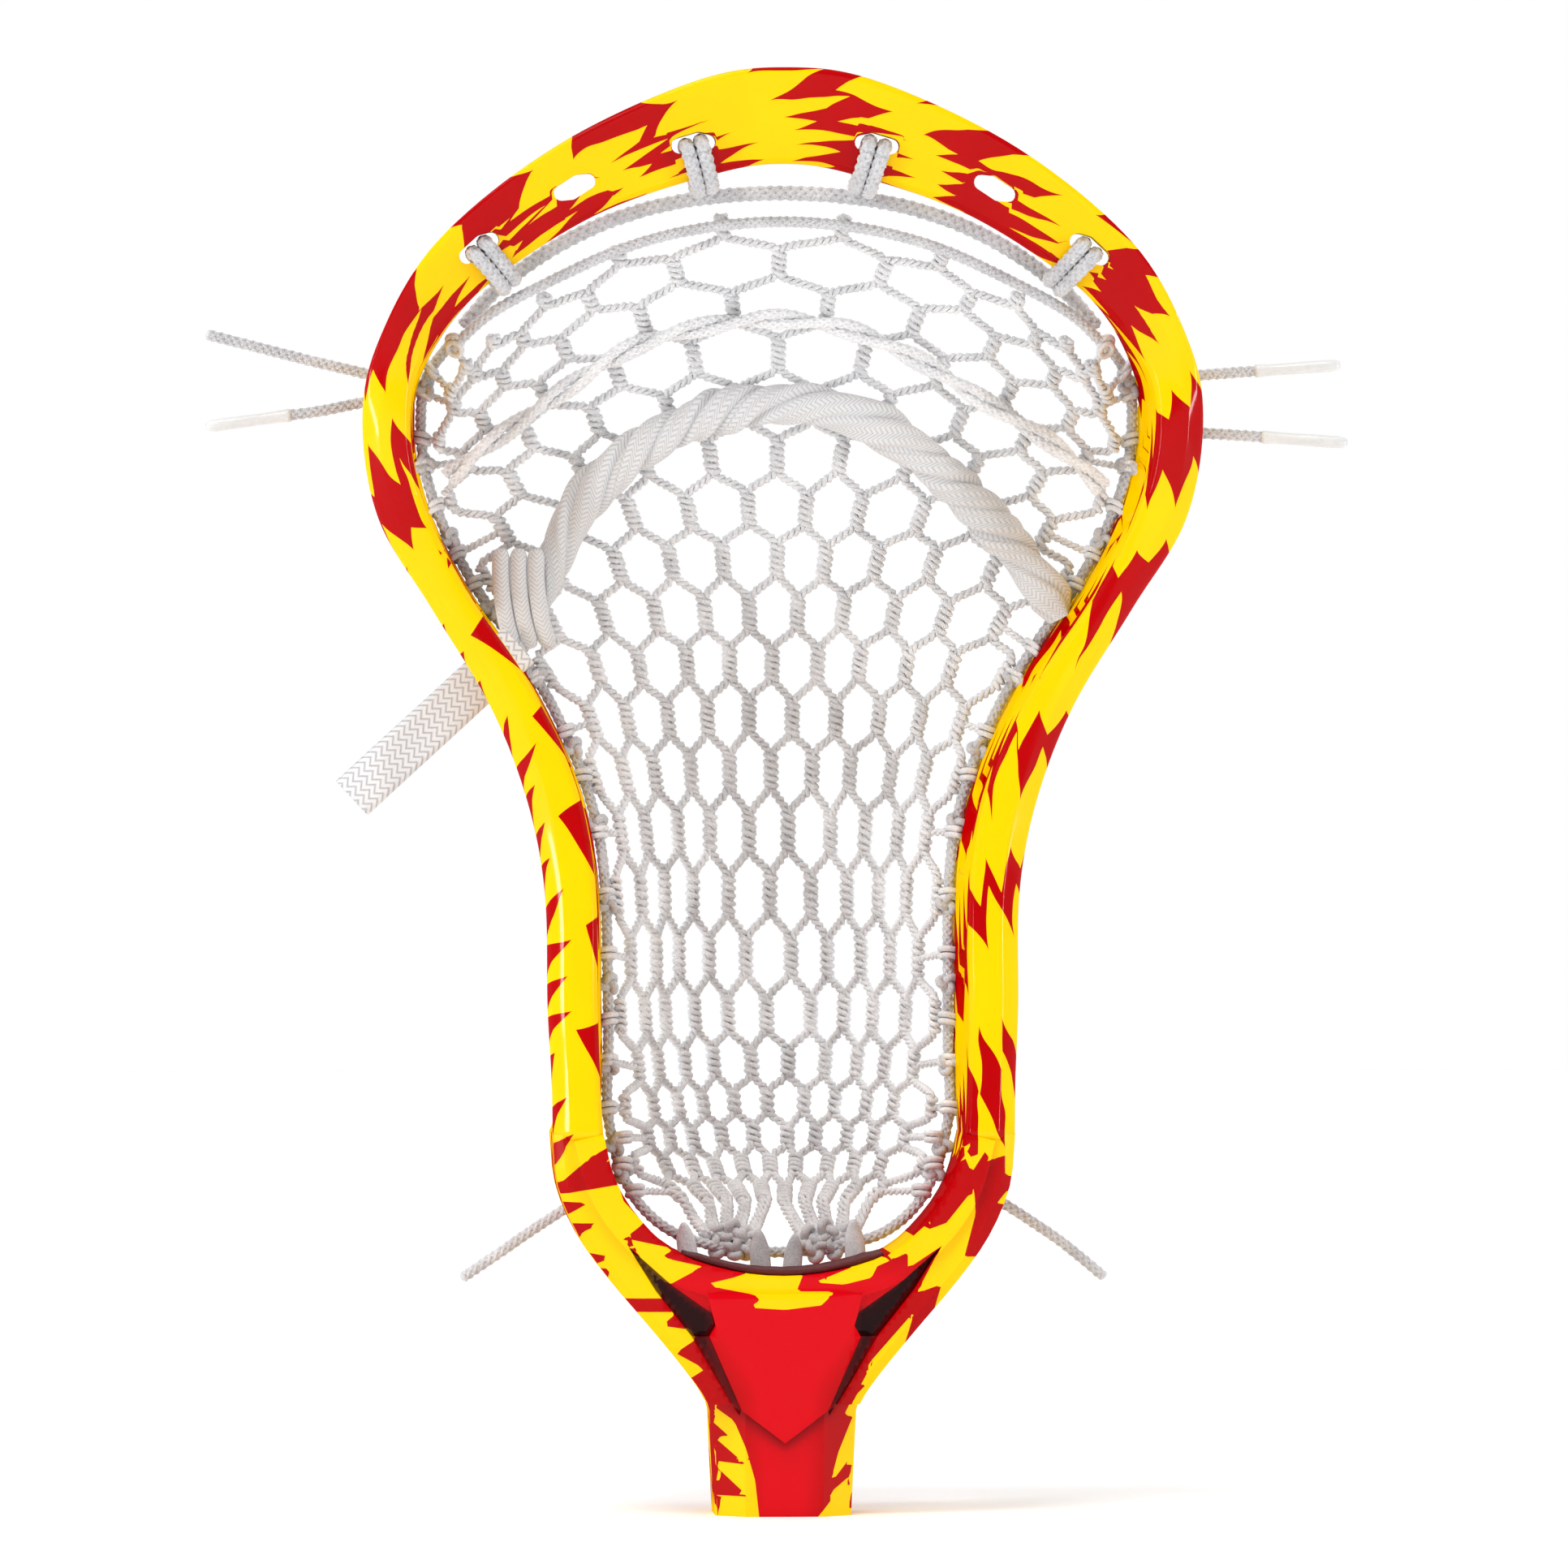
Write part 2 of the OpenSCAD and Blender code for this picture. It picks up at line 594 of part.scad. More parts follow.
module lace_tail() color("silver") {
  outline = [for (c = [[-1, -1], [1, -1], [1, 1], [-1, 1]]) [c.x * lace_width, c.y * lace_t] / 2];
  sweep(smooth(fitted_all(LACE_TAIL), 3), outline);
}

// A tip runs on from the last stretch of its cord
module aglet(points) {
  route = fitted_all(points);
  last = len(route) - 1;
  d = heading(route, last);
  translate(route[last]) rotate([0, acos(d.z), atan2(d.y, d.x)])
    cylinder(d = aglet_d, h = aglet_length, $fn = 24);
}

module upper_left_tail() color("white") cord(UPPER_LEFT, string_d);
module lower_left_tail() color("white") cord(LOWER_LEFT, string_d);
module upper_right_tail() color("white") cord(UPPER_RIGHT, string_d);
module lower_right_tail() color("white") cord(LOWER_RIGHT, string_d);
module bottom_left_tail() color("white") cord(BOTTOM_LEFT, string_d);
module bottom_right_tail() color("white") cord(BOTTOM_RIGHT, string_d);
module lower_left_aglet() color("silver") aglet(LOWER_LEFT);
module upper_right_aglet() color("silver") aglet(UPPER_RIGHT);
module lower_right_aglet() color("silver") aglet(LOWER_RIGHT);

scoop_and_sidewalls();
throat_and_socket();
ball_stop();
mesh_pocket();
top_string();
top_string_loops();
left_sidewall_string();
right_sidewall_string();
bottom_string();
nylon_shooter_front();
nylon_shooter_back();
shooting_lace();
lace_end_loops();
lace_tail();
upper_left_tail();
lower_left_tail();
upper_right_tail();
lower_right_tail();
bottom_left_tail();
bottom_right_tail();
lower_left_aglet();
upper_right_aglet();
lower_right_aglet();
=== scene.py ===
"""A strung lacrosse head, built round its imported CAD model: printed plastic moulding, knitted net,
braided strings, twisted shooting string, rolled lace and loose ends with tips.

Lengths in this script are millimetres, in the CAD model's frame, until a mesh is made.
"""

import math

import bmesh
import bpy
import numpy as np
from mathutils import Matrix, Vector
from mathutils.kdtree import KDTree


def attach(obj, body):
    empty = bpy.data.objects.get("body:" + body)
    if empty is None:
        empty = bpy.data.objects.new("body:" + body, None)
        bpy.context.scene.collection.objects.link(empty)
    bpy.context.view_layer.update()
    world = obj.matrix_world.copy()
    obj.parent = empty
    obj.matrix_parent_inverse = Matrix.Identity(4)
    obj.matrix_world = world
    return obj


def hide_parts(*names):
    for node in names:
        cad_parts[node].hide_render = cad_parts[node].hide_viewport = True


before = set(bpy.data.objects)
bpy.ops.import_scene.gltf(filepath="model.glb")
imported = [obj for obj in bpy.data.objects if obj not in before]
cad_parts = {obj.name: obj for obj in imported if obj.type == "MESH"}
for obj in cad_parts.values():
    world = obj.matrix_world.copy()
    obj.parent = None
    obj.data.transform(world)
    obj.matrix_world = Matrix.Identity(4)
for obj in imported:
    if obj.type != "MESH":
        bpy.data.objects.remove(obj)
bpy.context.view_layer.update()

MM = 0.001
rng = np.random.default_rng(7)


# ---- Curves ----

def between(a, b, c, d, t):
    """A Catmull-Rom step from b to c."""
    bend = (2 * a - 5 * b + 4 * c - d) * t ** 2 + (3 * b - a - 3 * c + d) * t ** 3
    return 0.5 * (2 * b + (c - a) * t + bend)


def smooth(points, steps):
    """A smooth run through a list of points, with this many steps from each to the next."""
    p = np.asarray(points, float)
    p = np.vstack([2 * p[0] - p[1], p, 2 * p[-1] - p[-2]])
    t = np.linspace(0, 1, steps, endpoint=False)[:, None]
    runs = [between(p[i], p[i + 1], p[i + 2], p[i + 3], t) for i in range(len(p) - 3)]
    return np.vstack(runs + [p[-2:-1]])


def resampled(path, gap):
    """The same path with points an even distance apart, close to gap."""
    d = np.r_[0, np.cumsum(np.linalg.norm(np.diff(path, axis=0), axis=1))]
    n = max(2, int(round(d[-1] / gap)) + 1)
    at = np.linspace(0, d[-1], n)
    return np.stack([np.interp(at, d, path[:, k]) for k in range(3)], axis=1)


def route(points, gap=0.5, steps=12):
    return resampled(smooth(points, steps), gap)


def mirrored(points):
    return [(-x, y, z) for x, y, z in points][::-1]


def unit(v):
    return v / np.maximum(np.linalg.norm(v, axis=-1, keepdims=True), 1e-12)


def frames(path, facing=(0, -1, 0)):
    """Tangent, side and out vectors along a path; out keeps close to facing."""
    along = unit(np.gradient(path, axis=0))
    side = unit(np.cross(along, np.asarray(facing, float)))
    return along, side, np.cross(side, along)


def lengths(path):
    return np.r_[0, np.cumsum(np.linalg.norm(np.diff(path, axis=0), axis=1))]


def spokes(angle, side, out):
    """Unit vectors square to a path, at these angles round it."""
    return np.cos(angle)[:, None] * side + np.sin(angle)[:, None] * out


def full_turn(n):
    """Angles spread evenly round a circle."""
    return np.arange(n) * 2 * math.pi / n


# ---- Camera ----

face_y = -12.0
view_centre_z = 160.8
view_width = 344.4
view_turn = math.radians(-3)
camera_distance = 2600.0


def placed(name, data):
    """A new object in the scene."""
    o = bpy.data.objects.new(name, data)
    bpy.context.scene.collection.objects.link(o)
    return o


def add_camera():
    data = bpy.data.cameras.new("camera")
    data.sensor_width = 36
    data.lens = data.sensor_width * camera_distance / view_width
    data.clip_end = 20
    camera = placed("camera", data)
    target = Vector((0, face_y, view_centre_z)) * MM
    back = Vector((math.sin(view_turn), -math.cos(view_turn), 0))
    camera.location = target + back * camera_distance * MM
    camera.rotation_euler = (target - camera.location).to_track_quat("-Z", "Y").to_euler()
    bpy.context.scene.camera = camera


add_camera()


# ---- Meshes ----

def tubes(paths, radius, sides=6, closed=False):
    """Round tubes along paths of equally many points (array: tube, point, xyz)."""
    paths = np.asarray(paths, float)
    count, n, _ = paths.shape
    if closed:
        along = unit(np.roll(paths, -1, axis=1) - np.roll(paths, 1, axis=1))
    else:
        along = unit(np.gradient(paths, axis=1))
    normal = np.zeros_like(paths)
    start = np.where(np.abs(along[:, :1, 1:2]) < 0.9, [[[0.0, 1.0, 0.0]]], [[[1.0, 0.0, 0.0]]])
    previous = start[:, 0]
    for i in range(n):
        t = along[:, i]
        previous = unit(previous - t * np.sum(previous * t, axis=1, keepdims=True))
        normal[:, i] = previous
    other = np.cross(along, normal)
    angle = full_turn(sides)
    r = np.broadcast_to(np.asarray(radius, float), (count, n))[:, :, None, None]
    ring = np.cos(angle)[:, None] * normal[:, :, None] + np.sin(angle)[:, None] * other[:, :, None]
    verts = (paths[:, :, None] + r * ring).reshape(-1, 3)
    index = np.arange(count * n * sides).reshape(count, n, sides)
    nxt = np.roll(index, -1, axis=1) if closed else index[:, 1:]
    cur = index if closed else index[:, :-1]
    quads = np.stack([cur, np.roll(cur, -1, axis=2), np.roll(nxt, -1, axis=2), nxt], axis=-1).reshape(-1, 4)
    faces = quads.tolist()
    if not closed:
        for k in range(count):
            faces.append(index[k, 0, ::-1].tolist())
            faces.append(index[k, -1].tolist())
    return verts, faces


def joined(parts):
    verts, faces, first = [], [], 0
    for v, f in parts:
        verts.append(v)
        faces += [[i + first for i in face] for face in f]
        first += len(v)
    return np.vstack(verts), faces


def mirror_image(geometry):
    """The same geometry on the other side of the middle."""
    verts, faces = geometry
    return verts * [-1, 1, 1], [face[::-1] for face in faces]


def braid(path, diameter, pitch, sides=5, facing=(0, -1, 0)):
    """A round braid: half the carriers wind each way, passing over and under each other."""
    carriers = 8
    _, side, out = frames(path, facing)
    s = lengths(path)
    ply = 0.19 * diameter
    middle = diameter / 2 - ply
    plies = []
    for k in range(carriers):
        way = 1 if k % 2 else -1
        start = 2 * math.pi * (k // 2) / (carriers // 2)
        angle = way * 2 * math.pi * s / pitch + start
        lift = way * 0.32 * ply * np.cos(carriers // 2 * (2 * math.pi * s / pitch))
        r = (middle + lift)[:, None]
        plies.append(path + r * spokes(angle, side, out))
    core = tubes([path], 0.36 * diameter, 8)
    return joined([tubes(plies, ply, sides), core])


def twist(path, diameter, pitch, sides, phase=0.0, facing=(0, -1, 0)):
    """Two plies laid up into a rope."""
    _, side, out = frames(path, facing)
    s = lengths(path)
    r = diameter / 4
    runs = []
    for k in range(2):
        angle = phase + 2 * math.pi * (s / pitch + k / 2)
        runs.append(path + r * spokes(angle, side, out))
    return tubes(runs, r, sides)


def make(name, geometry, material):
    """A mesh object from millimetre geometry, riding on the part's one body."""
    verts, faces = geometry
    mesh = bpy.data.meshes.new(name)
    mesh.from_pydata((np.asarray(verts) * MM).tolist(), [], faces)
    mesh.validate()
    mesh.materials.append(material)
    piece = placed(name, mesh)
    mesh.shade_smooth()
    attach(piece, "root")
    return piece


def store(mesh, name, values):
    """Stores a vector on every vertex for a material to read."""
    attribute = mesh.attributes.new(name, "FLOAT_VECTOR", "POINT")
    attribute.data.foreach_set("vector", np.asarray(values, np.float32).ravel())


# ---- Materials ----

def operator(operation):
    """A Python operator that adds one math node."""
    return lambda self, other: self.nodes.math(operation, self, other)


class Value:
    """A number inside a material, which adds, multiplies and compares like a plain one."""

    def __init__(self, nodes, socket):
        self.nodes = nodes
        self.socket = socket

    def __rsub__(self, other):
        return self.nodes.math("SUBTRACT", other, self)

    __add__ = operator("ADD")
    __sub__ = operator("SUBTRACT")
    __mul__ = operator("MULTIPLY")
    __truediv__ = operator("DIVIDE")
    __pow__ = operator("POWER")
    __gt__ = operator("GREATER_THAN")
    __lt__ = operator("LESS_THAN")


class Nodes:
    """A material's node tree, built from short calls."""

    def __init__(self, name):
        self.material = bpy.data.materials.new(name)
        self.material.use_nodes = True
        self.tree = self.material.node_tree
        self.shader = self.tree.nodes["Principled BSDF"]

    def node(self, kind, **values):
        n = self.tree.nodes.new(kind)
        for key, value in values.items():
            setattr(n, key, value)
        return n

    def link(self, source, target):
        """Feeds a socket from another one, or sets it where the source is a plain value."""
        if isinstance(source, Value):
            source = source.socket
        if isinstance(source, bpy.types.NodeSocket):
            self.tree.links.new(source, target)
        else:
            target.default_value = source

    def put(self, name, source):
        self.link(source, self.shader.inputs[name])

    def math(self, operation, a, b=0.0):
        n = self.node("ShaderNodeMath", operation=operation)
        self.link(a, n.inputs[0])
        self.link(b, n.inputs[1])
        return Value(self, n.outputs[0])

    def mix_value(self, share, a, b):
        n = self.node("ShaderNodeMix", data_type="FLOAT")
        for value, socket in ((share, 0), (a, 2), (b, 3)):
            self.link(value, n.inputs[socket])
        return Value(self, n.outputs[0])

    def mix(self, share, a, b):
        n = self.node("ShaderNodeMix", data_type="RGBA")
        for value, socket in ((share, 0), (a, 6), (b, 7)):
            self.link(value, n.inputs[socket])
        return n.outputs[2]

    def split(self, vector):
        n = self.node("ShaderNodeSeparateXYZ")
        self.link(vector, n.inputs[0])
        return [Value(self, output) for output in n.outputs]

    def attribute(self, name):
        return self.node("ShaderNodeAttribute", attribute_name=name).outputs["Vector"]

    def noise(self, vector, scale, detail=2.0, roughness=0.5):
        n = self.node("ShaderNodeTexNoise")
        self.link(vector, n.inputs["Vector"])
        n.inputs["Scale"].default_value = scale
        n.inputs["Detail"].default_value = detail
        n.inputs["Roughness"].default_value = roughness
        return Value(self, n.outputs["Fac"])

    def random(self, number):
        """A value from 0 to 1 that is fixed for each whole number."""
        n = self.node("ShaderNodeTexWhiteNoise", noise_dimensions="1D")
        self.link(number, n.inputs["W"])
        return Value(self, n.outputs["Value"])

    def ramp(self, value, low, high, a=0.0, b=1.0):
        n = self.node("ShaderNodeMapRange")
        for v, socket in zip((value, low, high, a, b), n.inputs):
            self.link(v, socket)
        return Value(self, n.outputs[0])

    def position(self):
        return self.node("ShaderNodeTexCoord").outputs["Object"]

    def bump(self, height, distance, strength=1.0, normal=None):
        n = self.node("ShaderNodeBump")
        n.inputs["Strength"].default_value = strength
        n.inputs["Distance"].default_value = distance
        self.link(height, n.inputs["Height"])
        if normal:
            self.link(normal, n.inputs["Normal"])
        return n.outputs[0]


def colour(r, g, b):
    """A linear colour from 8-bit sRGB."""
    def linear(c):
        c /= 255
        return c / 12.92 if c <= 0.04045 else ((c + 0.055) / 1.055) ** 2.4
    return (linear(r), linear(g), linear(b), 1.0)


def grey(level):
    """A grey with the slightest blue."""
    return colour(level, level, level + 2)


def cord_material(name, light, dark, scale=2600, depth=0.00012, roughness=0.82):
    """Spun fibre: fine fuzz in the bump, and soft dirt and shade variation in the colour."""
    m = Nodes(name)
    place = m.position()
    fibre = m.noise(place, scale, 3, 0.65)
    patch = m.noise(place, 140, 2)
    share = fibre * 0.65 + patch * 0.35
    m.put("Base Color", m.mix(m.ramp(share, 0.3, 0.62), dark, light))
    m.put("Roughness", m.ramp(patch, 0.2, 0.8, roughness - 0.06, roughness + 0.06))
    m.put("Sheen Weight", 0.25)
    m.put("Sheen Roughness", 0.5)
    m.put("Specular IOR Level", 0.25)
    m.put("Normal", m.bump(fibre, depth, 0.8))
    return m.material


def tooth(m, q, width, seed):
    """Round lobes with sharp points between them, each lobe with its own height."""
    at = q / width + seed
    height = m.random(m.math("FLOOR", at))
    return m.math("PINGPONG", at * 2, 1) ** 0.8 * m.ramp(height, 0, 1, 0.3, 1.2)


def spike(m, q, width, seed):
    """Saw teeth, each with one curved side and its own height."""
    at = q / width + seed
    height = m.random(m.math("FLOOR", at))
    return (1.0 - m.math("FRACT", at)) ** 1.5 * m.ramp(height, 0, 1, 0.2, 1.0)


def flames(m, s, t, drift, sway):
    """Red shards that run along the rim, sharp at both ends, with round yellow tongues between."""
    cell = (s + t * 0.7 + drift * 30) / shard_length
    across = t - s * 0.24 + sway * 2.5
    place = m.math("FRACT", cell)
    number = m.math("FLOOR", cell)
    first = tooth(m, across + number * 3.7, 5.6, 0.2) * 0.5 + 0.08
    last = 0.86 - tooth(m, across + number * 5.3, 6.8, 9.4) * 0.46
    return (place > first) * (place < last)


def teeth(m, s, t, drift):
    """Red teeth that point in across the rim from its outer edge, and a few shards at its inner edge."""
    slanted = s - t * 0.45 + drift * 14
    outer = rim_print_end - spike(m, slanted, 8.6, 2.3) * 9.5
    inner = spike(m, slanted, 23.0, 5.7) * 7.5 + rim_print_start
    return m.math("MAXIMUM", t > outer, t < inner)


def print_material():
    """Glossy red plastic with a jagged yellow print.

    The mesh's flow attribute holds millimetres along the rim from the scoop's tip (above 0 on the
    right), millimetres out across it, and the throat's print: above 0 in a yellow outline. Its tone
    attribute holds the share of the throat's brighter red, the painted shade in its grooves and the
    painted shadow under the shield's edge, and how far the rim's own pattern reaches down into the
    throat.
    """
    m = Nodes("printed_plastic")
    flow = m.attribute("flow")
    s, t, outline = m.split(flow)
    centre, shade, reach = m.split(m.attribute("tone"))
    drift = m.noise(flow, 0.035, 1) - 0.5
    sway = m.noise(flow, 0.09, 1) - 0.5
    jag = tooth(m, s + t, 5.2, 3.1)
    left = s * -1
    left_arm = left > jag * 6 + left_teeth_from
    on_face = (t > rim_print_start) * (t < rim_print_end)
    rim_red = m.mix_value(left_arm * on_face, flames(m, s, t, drift, sway), teeth(m, left, t, drift))
    on_rim = reach > jag * 0.45 + 0.25
    red = m.mix_value(on_rim, outline < 0.0, rim_red)
    place = m.position()
    mottle = m.noise(place, 60, 3)
    reds = m.mix(mottle, colour(166, 0, 2), colour(184, 0, 6))
    reds = m.mix(centre, reds, colour(206, 0, 16))
    yellows = m.mix(mottle, colour(250, 194, 0), colour(252, 206, 0))
    printed = m.mix(red, yellows, reds)
    # Painted shade: the tone's shade darkens the grooves and the step under the shield's edge towards
    # near-black red
    m.put("Base Color", m.mix(shade, printed, colour(44, 0, 6)))
    m.put("Roughness", m.ramp(m.noise(place, 900, 2), 0.3, 0.7, 0.24, 0.32))
    m.put("Specular IOR Level", 0.0)
    # Faces that turn away from the front are duller
    _, facing, _ = m.split(m.node("ShaderNodeTexCoord").outputs["Normal"])
    m.put("Coat Weight", m.ramp(m.math("ABSOLUTE", facing), 0.2, 0.6, 0.02, 0.42))
    m.put("Coat Roughness", 0.08)
    m.put("Coat IOR", 1.35)
    grain = m.bump(m.noise(place, 1500, 2), 0.00002, 0.5)
    m.put("Normal", m.bump(red, 0.00003, 0.35, grain))
    return m.material


def foam_material():
    m = Nodes("stop_foam")
    place = m.position()
    cells = m.node("ShaderNodeTexVoronoi")
    m.link(place, cells.inputs["Vector"])
    cells.inputs["Scale"].default_value = 2200
    m.put("Base Color", m.mix(m.noise(place, 300, 3), colour(66, 4, 10), colour(96, 10, 18)))
    m.put("Roughness", 0.75)
    m.put("Normal", m.bump(cells.outputs["Distance"], 0.0002, 0.6))
    return m.material


def film_material():
    """Clear heat-shrunk film over a cord's end, drawn as a pale, streaked, opaque film; the weave does not
    show through.
    """
    m = Nodes("tip_film")
    streak = m.noise(m.position(), 700, 3)
    m.put("Base Color", m.mix(streak, colour(206, 206, 206), colour(226, 226, 224)))
    m.put("Roughness", m.ramp(streak, 0.3, 0.7, 0.28, 0.4))
    m.put("Coat Weight", 0.5)
    m.put("Coat Roughness", 0.15)
    m.put("Normal", m.bump(streak, 0.0001, 0.5))
    return m.material


def weave_material(name, light, dark, yarn_width):
    """Flat lace: a herringbone of slanting yarns, from the mesh's own along and across millimetres, with
    painted shade in the valleys between the yarns.
    """
    m = Nodes(name)
    s, t, _ = m.split(m.attribute("flow"))
    column = m.math("PINGPONG", t + 40 * lace_width, lace_width / 8)
    slant = s + column * 1.1
    yarn = m.math("ABSOLUTE", m.math("SINE", slant * (math.pi / yarn_width)))
    fibre = m.noise(m.position(), 2400, 3, 0.6)
    height = yarn ** 0.6 + fibre * 0.5
    # The colour follows the yarns' height: painted shade in the valleys between yarns, with random fibre tone
    # on top
    m.put("Base Color", m.mix(m.ramp(height, 0.25, 1.2), dark, light))
    m.put("Roughness", 0.85)
    m.put("Sheen Weight", 0.2)
    m.put("Specular IOR Level", 0.2)
    m.put("Normal", m.bump(height, 0.00018, 0.55))
    return m.material


lace_width = 10.3
shard_length = 37.0
# The print's reach across the rim, from its inner edge
rim_print_start = -1.6
rim_print_end = 12.5
# Distance from the scoop's tip at which the left arm's print changes from flames to teeth
left_teeth_from = 150.0

PLASTIC = print_material()
NET = cord_material("knitted_net", colour(236, 236, 237), colour(180, 180, 183), 3200)
CORD = cord_material("braided_cord", grey(216), colour(164, 164, 168))
DARK_CORD = cord_material("braided_cord_grey", grey(206), colour(150, 150, 154))
NYLON_CORD = cord_material("nylon_cord", colour(238, 238, 239), colour(204, 204, 207), 1800, 0.00008, 0.7)
FOAM = foam_material()
FILM = film_material()
WEAVE = weave_material("woven_lace", colour(216, 216, 217), grey(180), 1.0)
TAIL_WEAVE = weave_material("woven_lace_flat", colour(226, 226, 227), colour(158, 158, 161), 1.7)


# ---- Loose ends: each route repeats the CAD model's ----

string_d = 2.4
aglet_length = 19.0
aglet_d = 2.9
TAILS = {
    "upper_left": [(-87, 14.5, 250.5), (-93, 13.5, 252), (-104, 12, 254.5), (-116, 11.5, 257.5),
                   (-126, 11, 260)],
    "lower_left": [(-88, 18.5, 246), (-94, 17.5, 245), (-101, 16.5, 243.5), (-108, 16, 242.5)],
    "upper_right": [(87, 14.5, 250.5), (93, 13.5, 251.5), (99, 12.5, 252), (106, 12, 252.5)],
    "lower_right": [(88.5, 19.5, 240), (94, 18, 239), (101, 17, 238.5), (108, 16, 238)],
    "bottom_left": [(-40, 18.5, 71), (-47, 19, 66.5), (-54, 19, 62), (-62, 18.5, 56.5), (-69.5, 18, 51.5)],
    "bottom_right": [(40, 18.5, 73), (48, 19, 69), (56, 19, 64), (64, 18.5, 58.5), (72.5, 18, 51.5)],
}
TIPPED = ("lower_left", "upper_right", "lower_right")


def aglet(name, points):
    """A film tip: a sleeve with a rolled mouth and a pinched end."""
    path = smooth(points, 12)
    d = unit(path[-1] - path[-2])
    at = np.linspace(0, 1, 25)
    line = path[-1] + np.outer(at * aglet_length, d)
    r = aglet_d / 2 * (0.93 + 0.05 * np.cos(at * 9) * (1 - at))
    r[:2] *= (1.0, 1.04)
    r[-3:] *= (0.97, 0.86, 0.62)
    piece = make(name + "_tip", tubes([line], r, 20), FILM)
    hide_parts(name + "_aglet")
    return piece


def melted_end(point, direction, diameter):
    """The blunt melted bead on a bare end."""
    at = np.linspace(0, 1, 7)
    line = point + np.outer(at * 1.3 - 0.5, direction)
    return tubes([line], diameter / 2 * np.array([0.7, 0.95, 1.05, 1.04, 0.95, 0.7, 0.3]), 10)


def tail(name, points):
    """A loose braided end; where it has a film tip, the cord runs on inside the tip."""
    ends = []
    path = route(points, 0.42)
    if name in TIPPED:
        aglet(name, points)
        hidden = np.arange(0.42, aglet_length - 1.2, 0.42)
        path = np.vstack([path, path[-1] + np.outer(hidden, unit(path[-1] - path[-3]))])
    else:
        ends.append(melted_end(path[-1], unit(path[-1] - path[-3]), string_d))
    body = braid(path, string_d, 7.2)
    piece = make(name + "_end", joined([body] + ends), CORD)
    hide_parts(name + "_tail")


for tail_name, tail_points in TAILS.items():
    tail(tail_name, tail_points)


# ---- Moulding: hoop ----

# From the right arm's foot to the scoop's tip: outer edge x and z, inner edge x and z, front y,
# back y, how much the section is the scoop's lip, and how much it is the throat's full block
HALF_HOOP = np.array([
    [50.8, 84, 39.8, 84, -16.3, 15, 0, 1],
    [51.3, 97, 40.6, 97, -14.6, 15.5, 0, 0.15],
    [52.1, 112, 41, 112, -12, 17, 0, 0],
    [52.6, 137, 41.4, 138.7, -9, 22.5, 0, 0],
    [56.5, 157.4, 45.6, 160.5, -8, 27, 0, 0],
    [64.5, 177.9, 55.7, 182.4, -8, 29.5, 0, 0],
    [77.4, 199.3, 70, 203.8, -9, 30.5, 0, 0],
    [89.1, 218.9, 79.3, 222.9, -11, 29.5, 0, 0],
    [92.7, 240.3, 82.2, 240.3, -14, 26, 0.05, 0],
    [89.1, 258.1, 79.1, 254, -17, 20, 0.45, 0],
    [76.3, 279.5, 66.2, 269.5, -21, 11, 1, 0],
    [50.8, 300, 41.6, 285.6, -24.5, 2, 1, 0],
    [20.5, 314.3, 15.4, 294.7, -26, 0, 1, 0],
    [0, 317.5, 0, 297, -26.3, 0, 1, 0]])
FLIP = np.array([-1, 1, -1, 1, 1, 1, 1, 1])
FULL_HOOP = np.vstack([HALF_HOOP, (HALF_HOOP * FLIP)[-2::-1]])
rim_depth = 7.0
rim_flat = 0.62
bevel_drop = 2.6
web_t = 3.6
rail_w = 6.2
wall_lean = 2.0
scoop_t = 4.6
scoop_drop = 12.0
hoop_base = 84.0
shield_front = -17.0
hoop_steps = 10
grid_step = 1.2
corner_r = 0.55


def row_at(place):
    p = np.vstack([2 * HALF_HOOP[0] - HALF_HOOP[1], FULL_HOOP])
    i = min(int(place), len(HALF_HOOP) - 2)
    return between(p[i], p[i + 1], p[i + 2], p[i + 3], place - i)


def edges(r):
    """Inner point, outward vector and width of a hoop row, in the face plane."""
    inner = np.array([r[2], r[3]])
    across = np.array([r[0], r[1]]) - inner
    width = np.linalg.norm(across)
    return inner, across / width, width


def section(r):
    """The hoop's section as (out from the inner edge, y)."""
    _, _, w = edges(r)
    front, back, share, block = r[4], r[5], min(1.0, max(0.0, r[6])), r[7]
    web = web_t + (w - web_t) * block
    rail = rail_w + (w - rail_w) * block
    lean = wall_lean * (1 - block) / (back - front)
    wall = np.array([
        [0, front + 1.2], [1, front], [rim_flat * w, front], [w - 0.7, front + bevel_drop - 0.3],
        [w, front + bevel_drop + 0.6], [w, front + rim_depth - 1.2], [w - 1, front + rim_depth],
        [min(web + 2, w), front + rim_depth + 0.6], [web, front + rim_depth + 3.5], [web, back - 9.5],
        [max(rail - 0.8, web), back - 7], [rail, back - 5.6], [rail, back - 1.2], [rail - 1.2, back],
        [1.2, back], [0, back - 1.2]])
    wall[:, 0] -= lean * (wall[:, 1] - front)

    def face(x):
        return front + scoop_drop * (1 - x / w)
    lip = np.array(
        [[0, face(0) + 1.2], [1, face(1)], [rim_flat * w, face(rim_flat * w)], [w - 1.4, face(w - 1.4) + 0.2],
         [w, face(w) + 1.3], [w, face(w) + 2.6], [w - 1.4, face(w) + scoop_t - 0.4]]
        + [[x * w, face(x * w) + scoop_t] for x in (0.78, 0.65, 0.52, 0.4, 0.3, 0.22, 0.14)]
        + [[1.2, face(1.2) + scoop_t], [0, face(0) + scoop_t - 1.2]])
    return wall * (1 - share) + lip * share


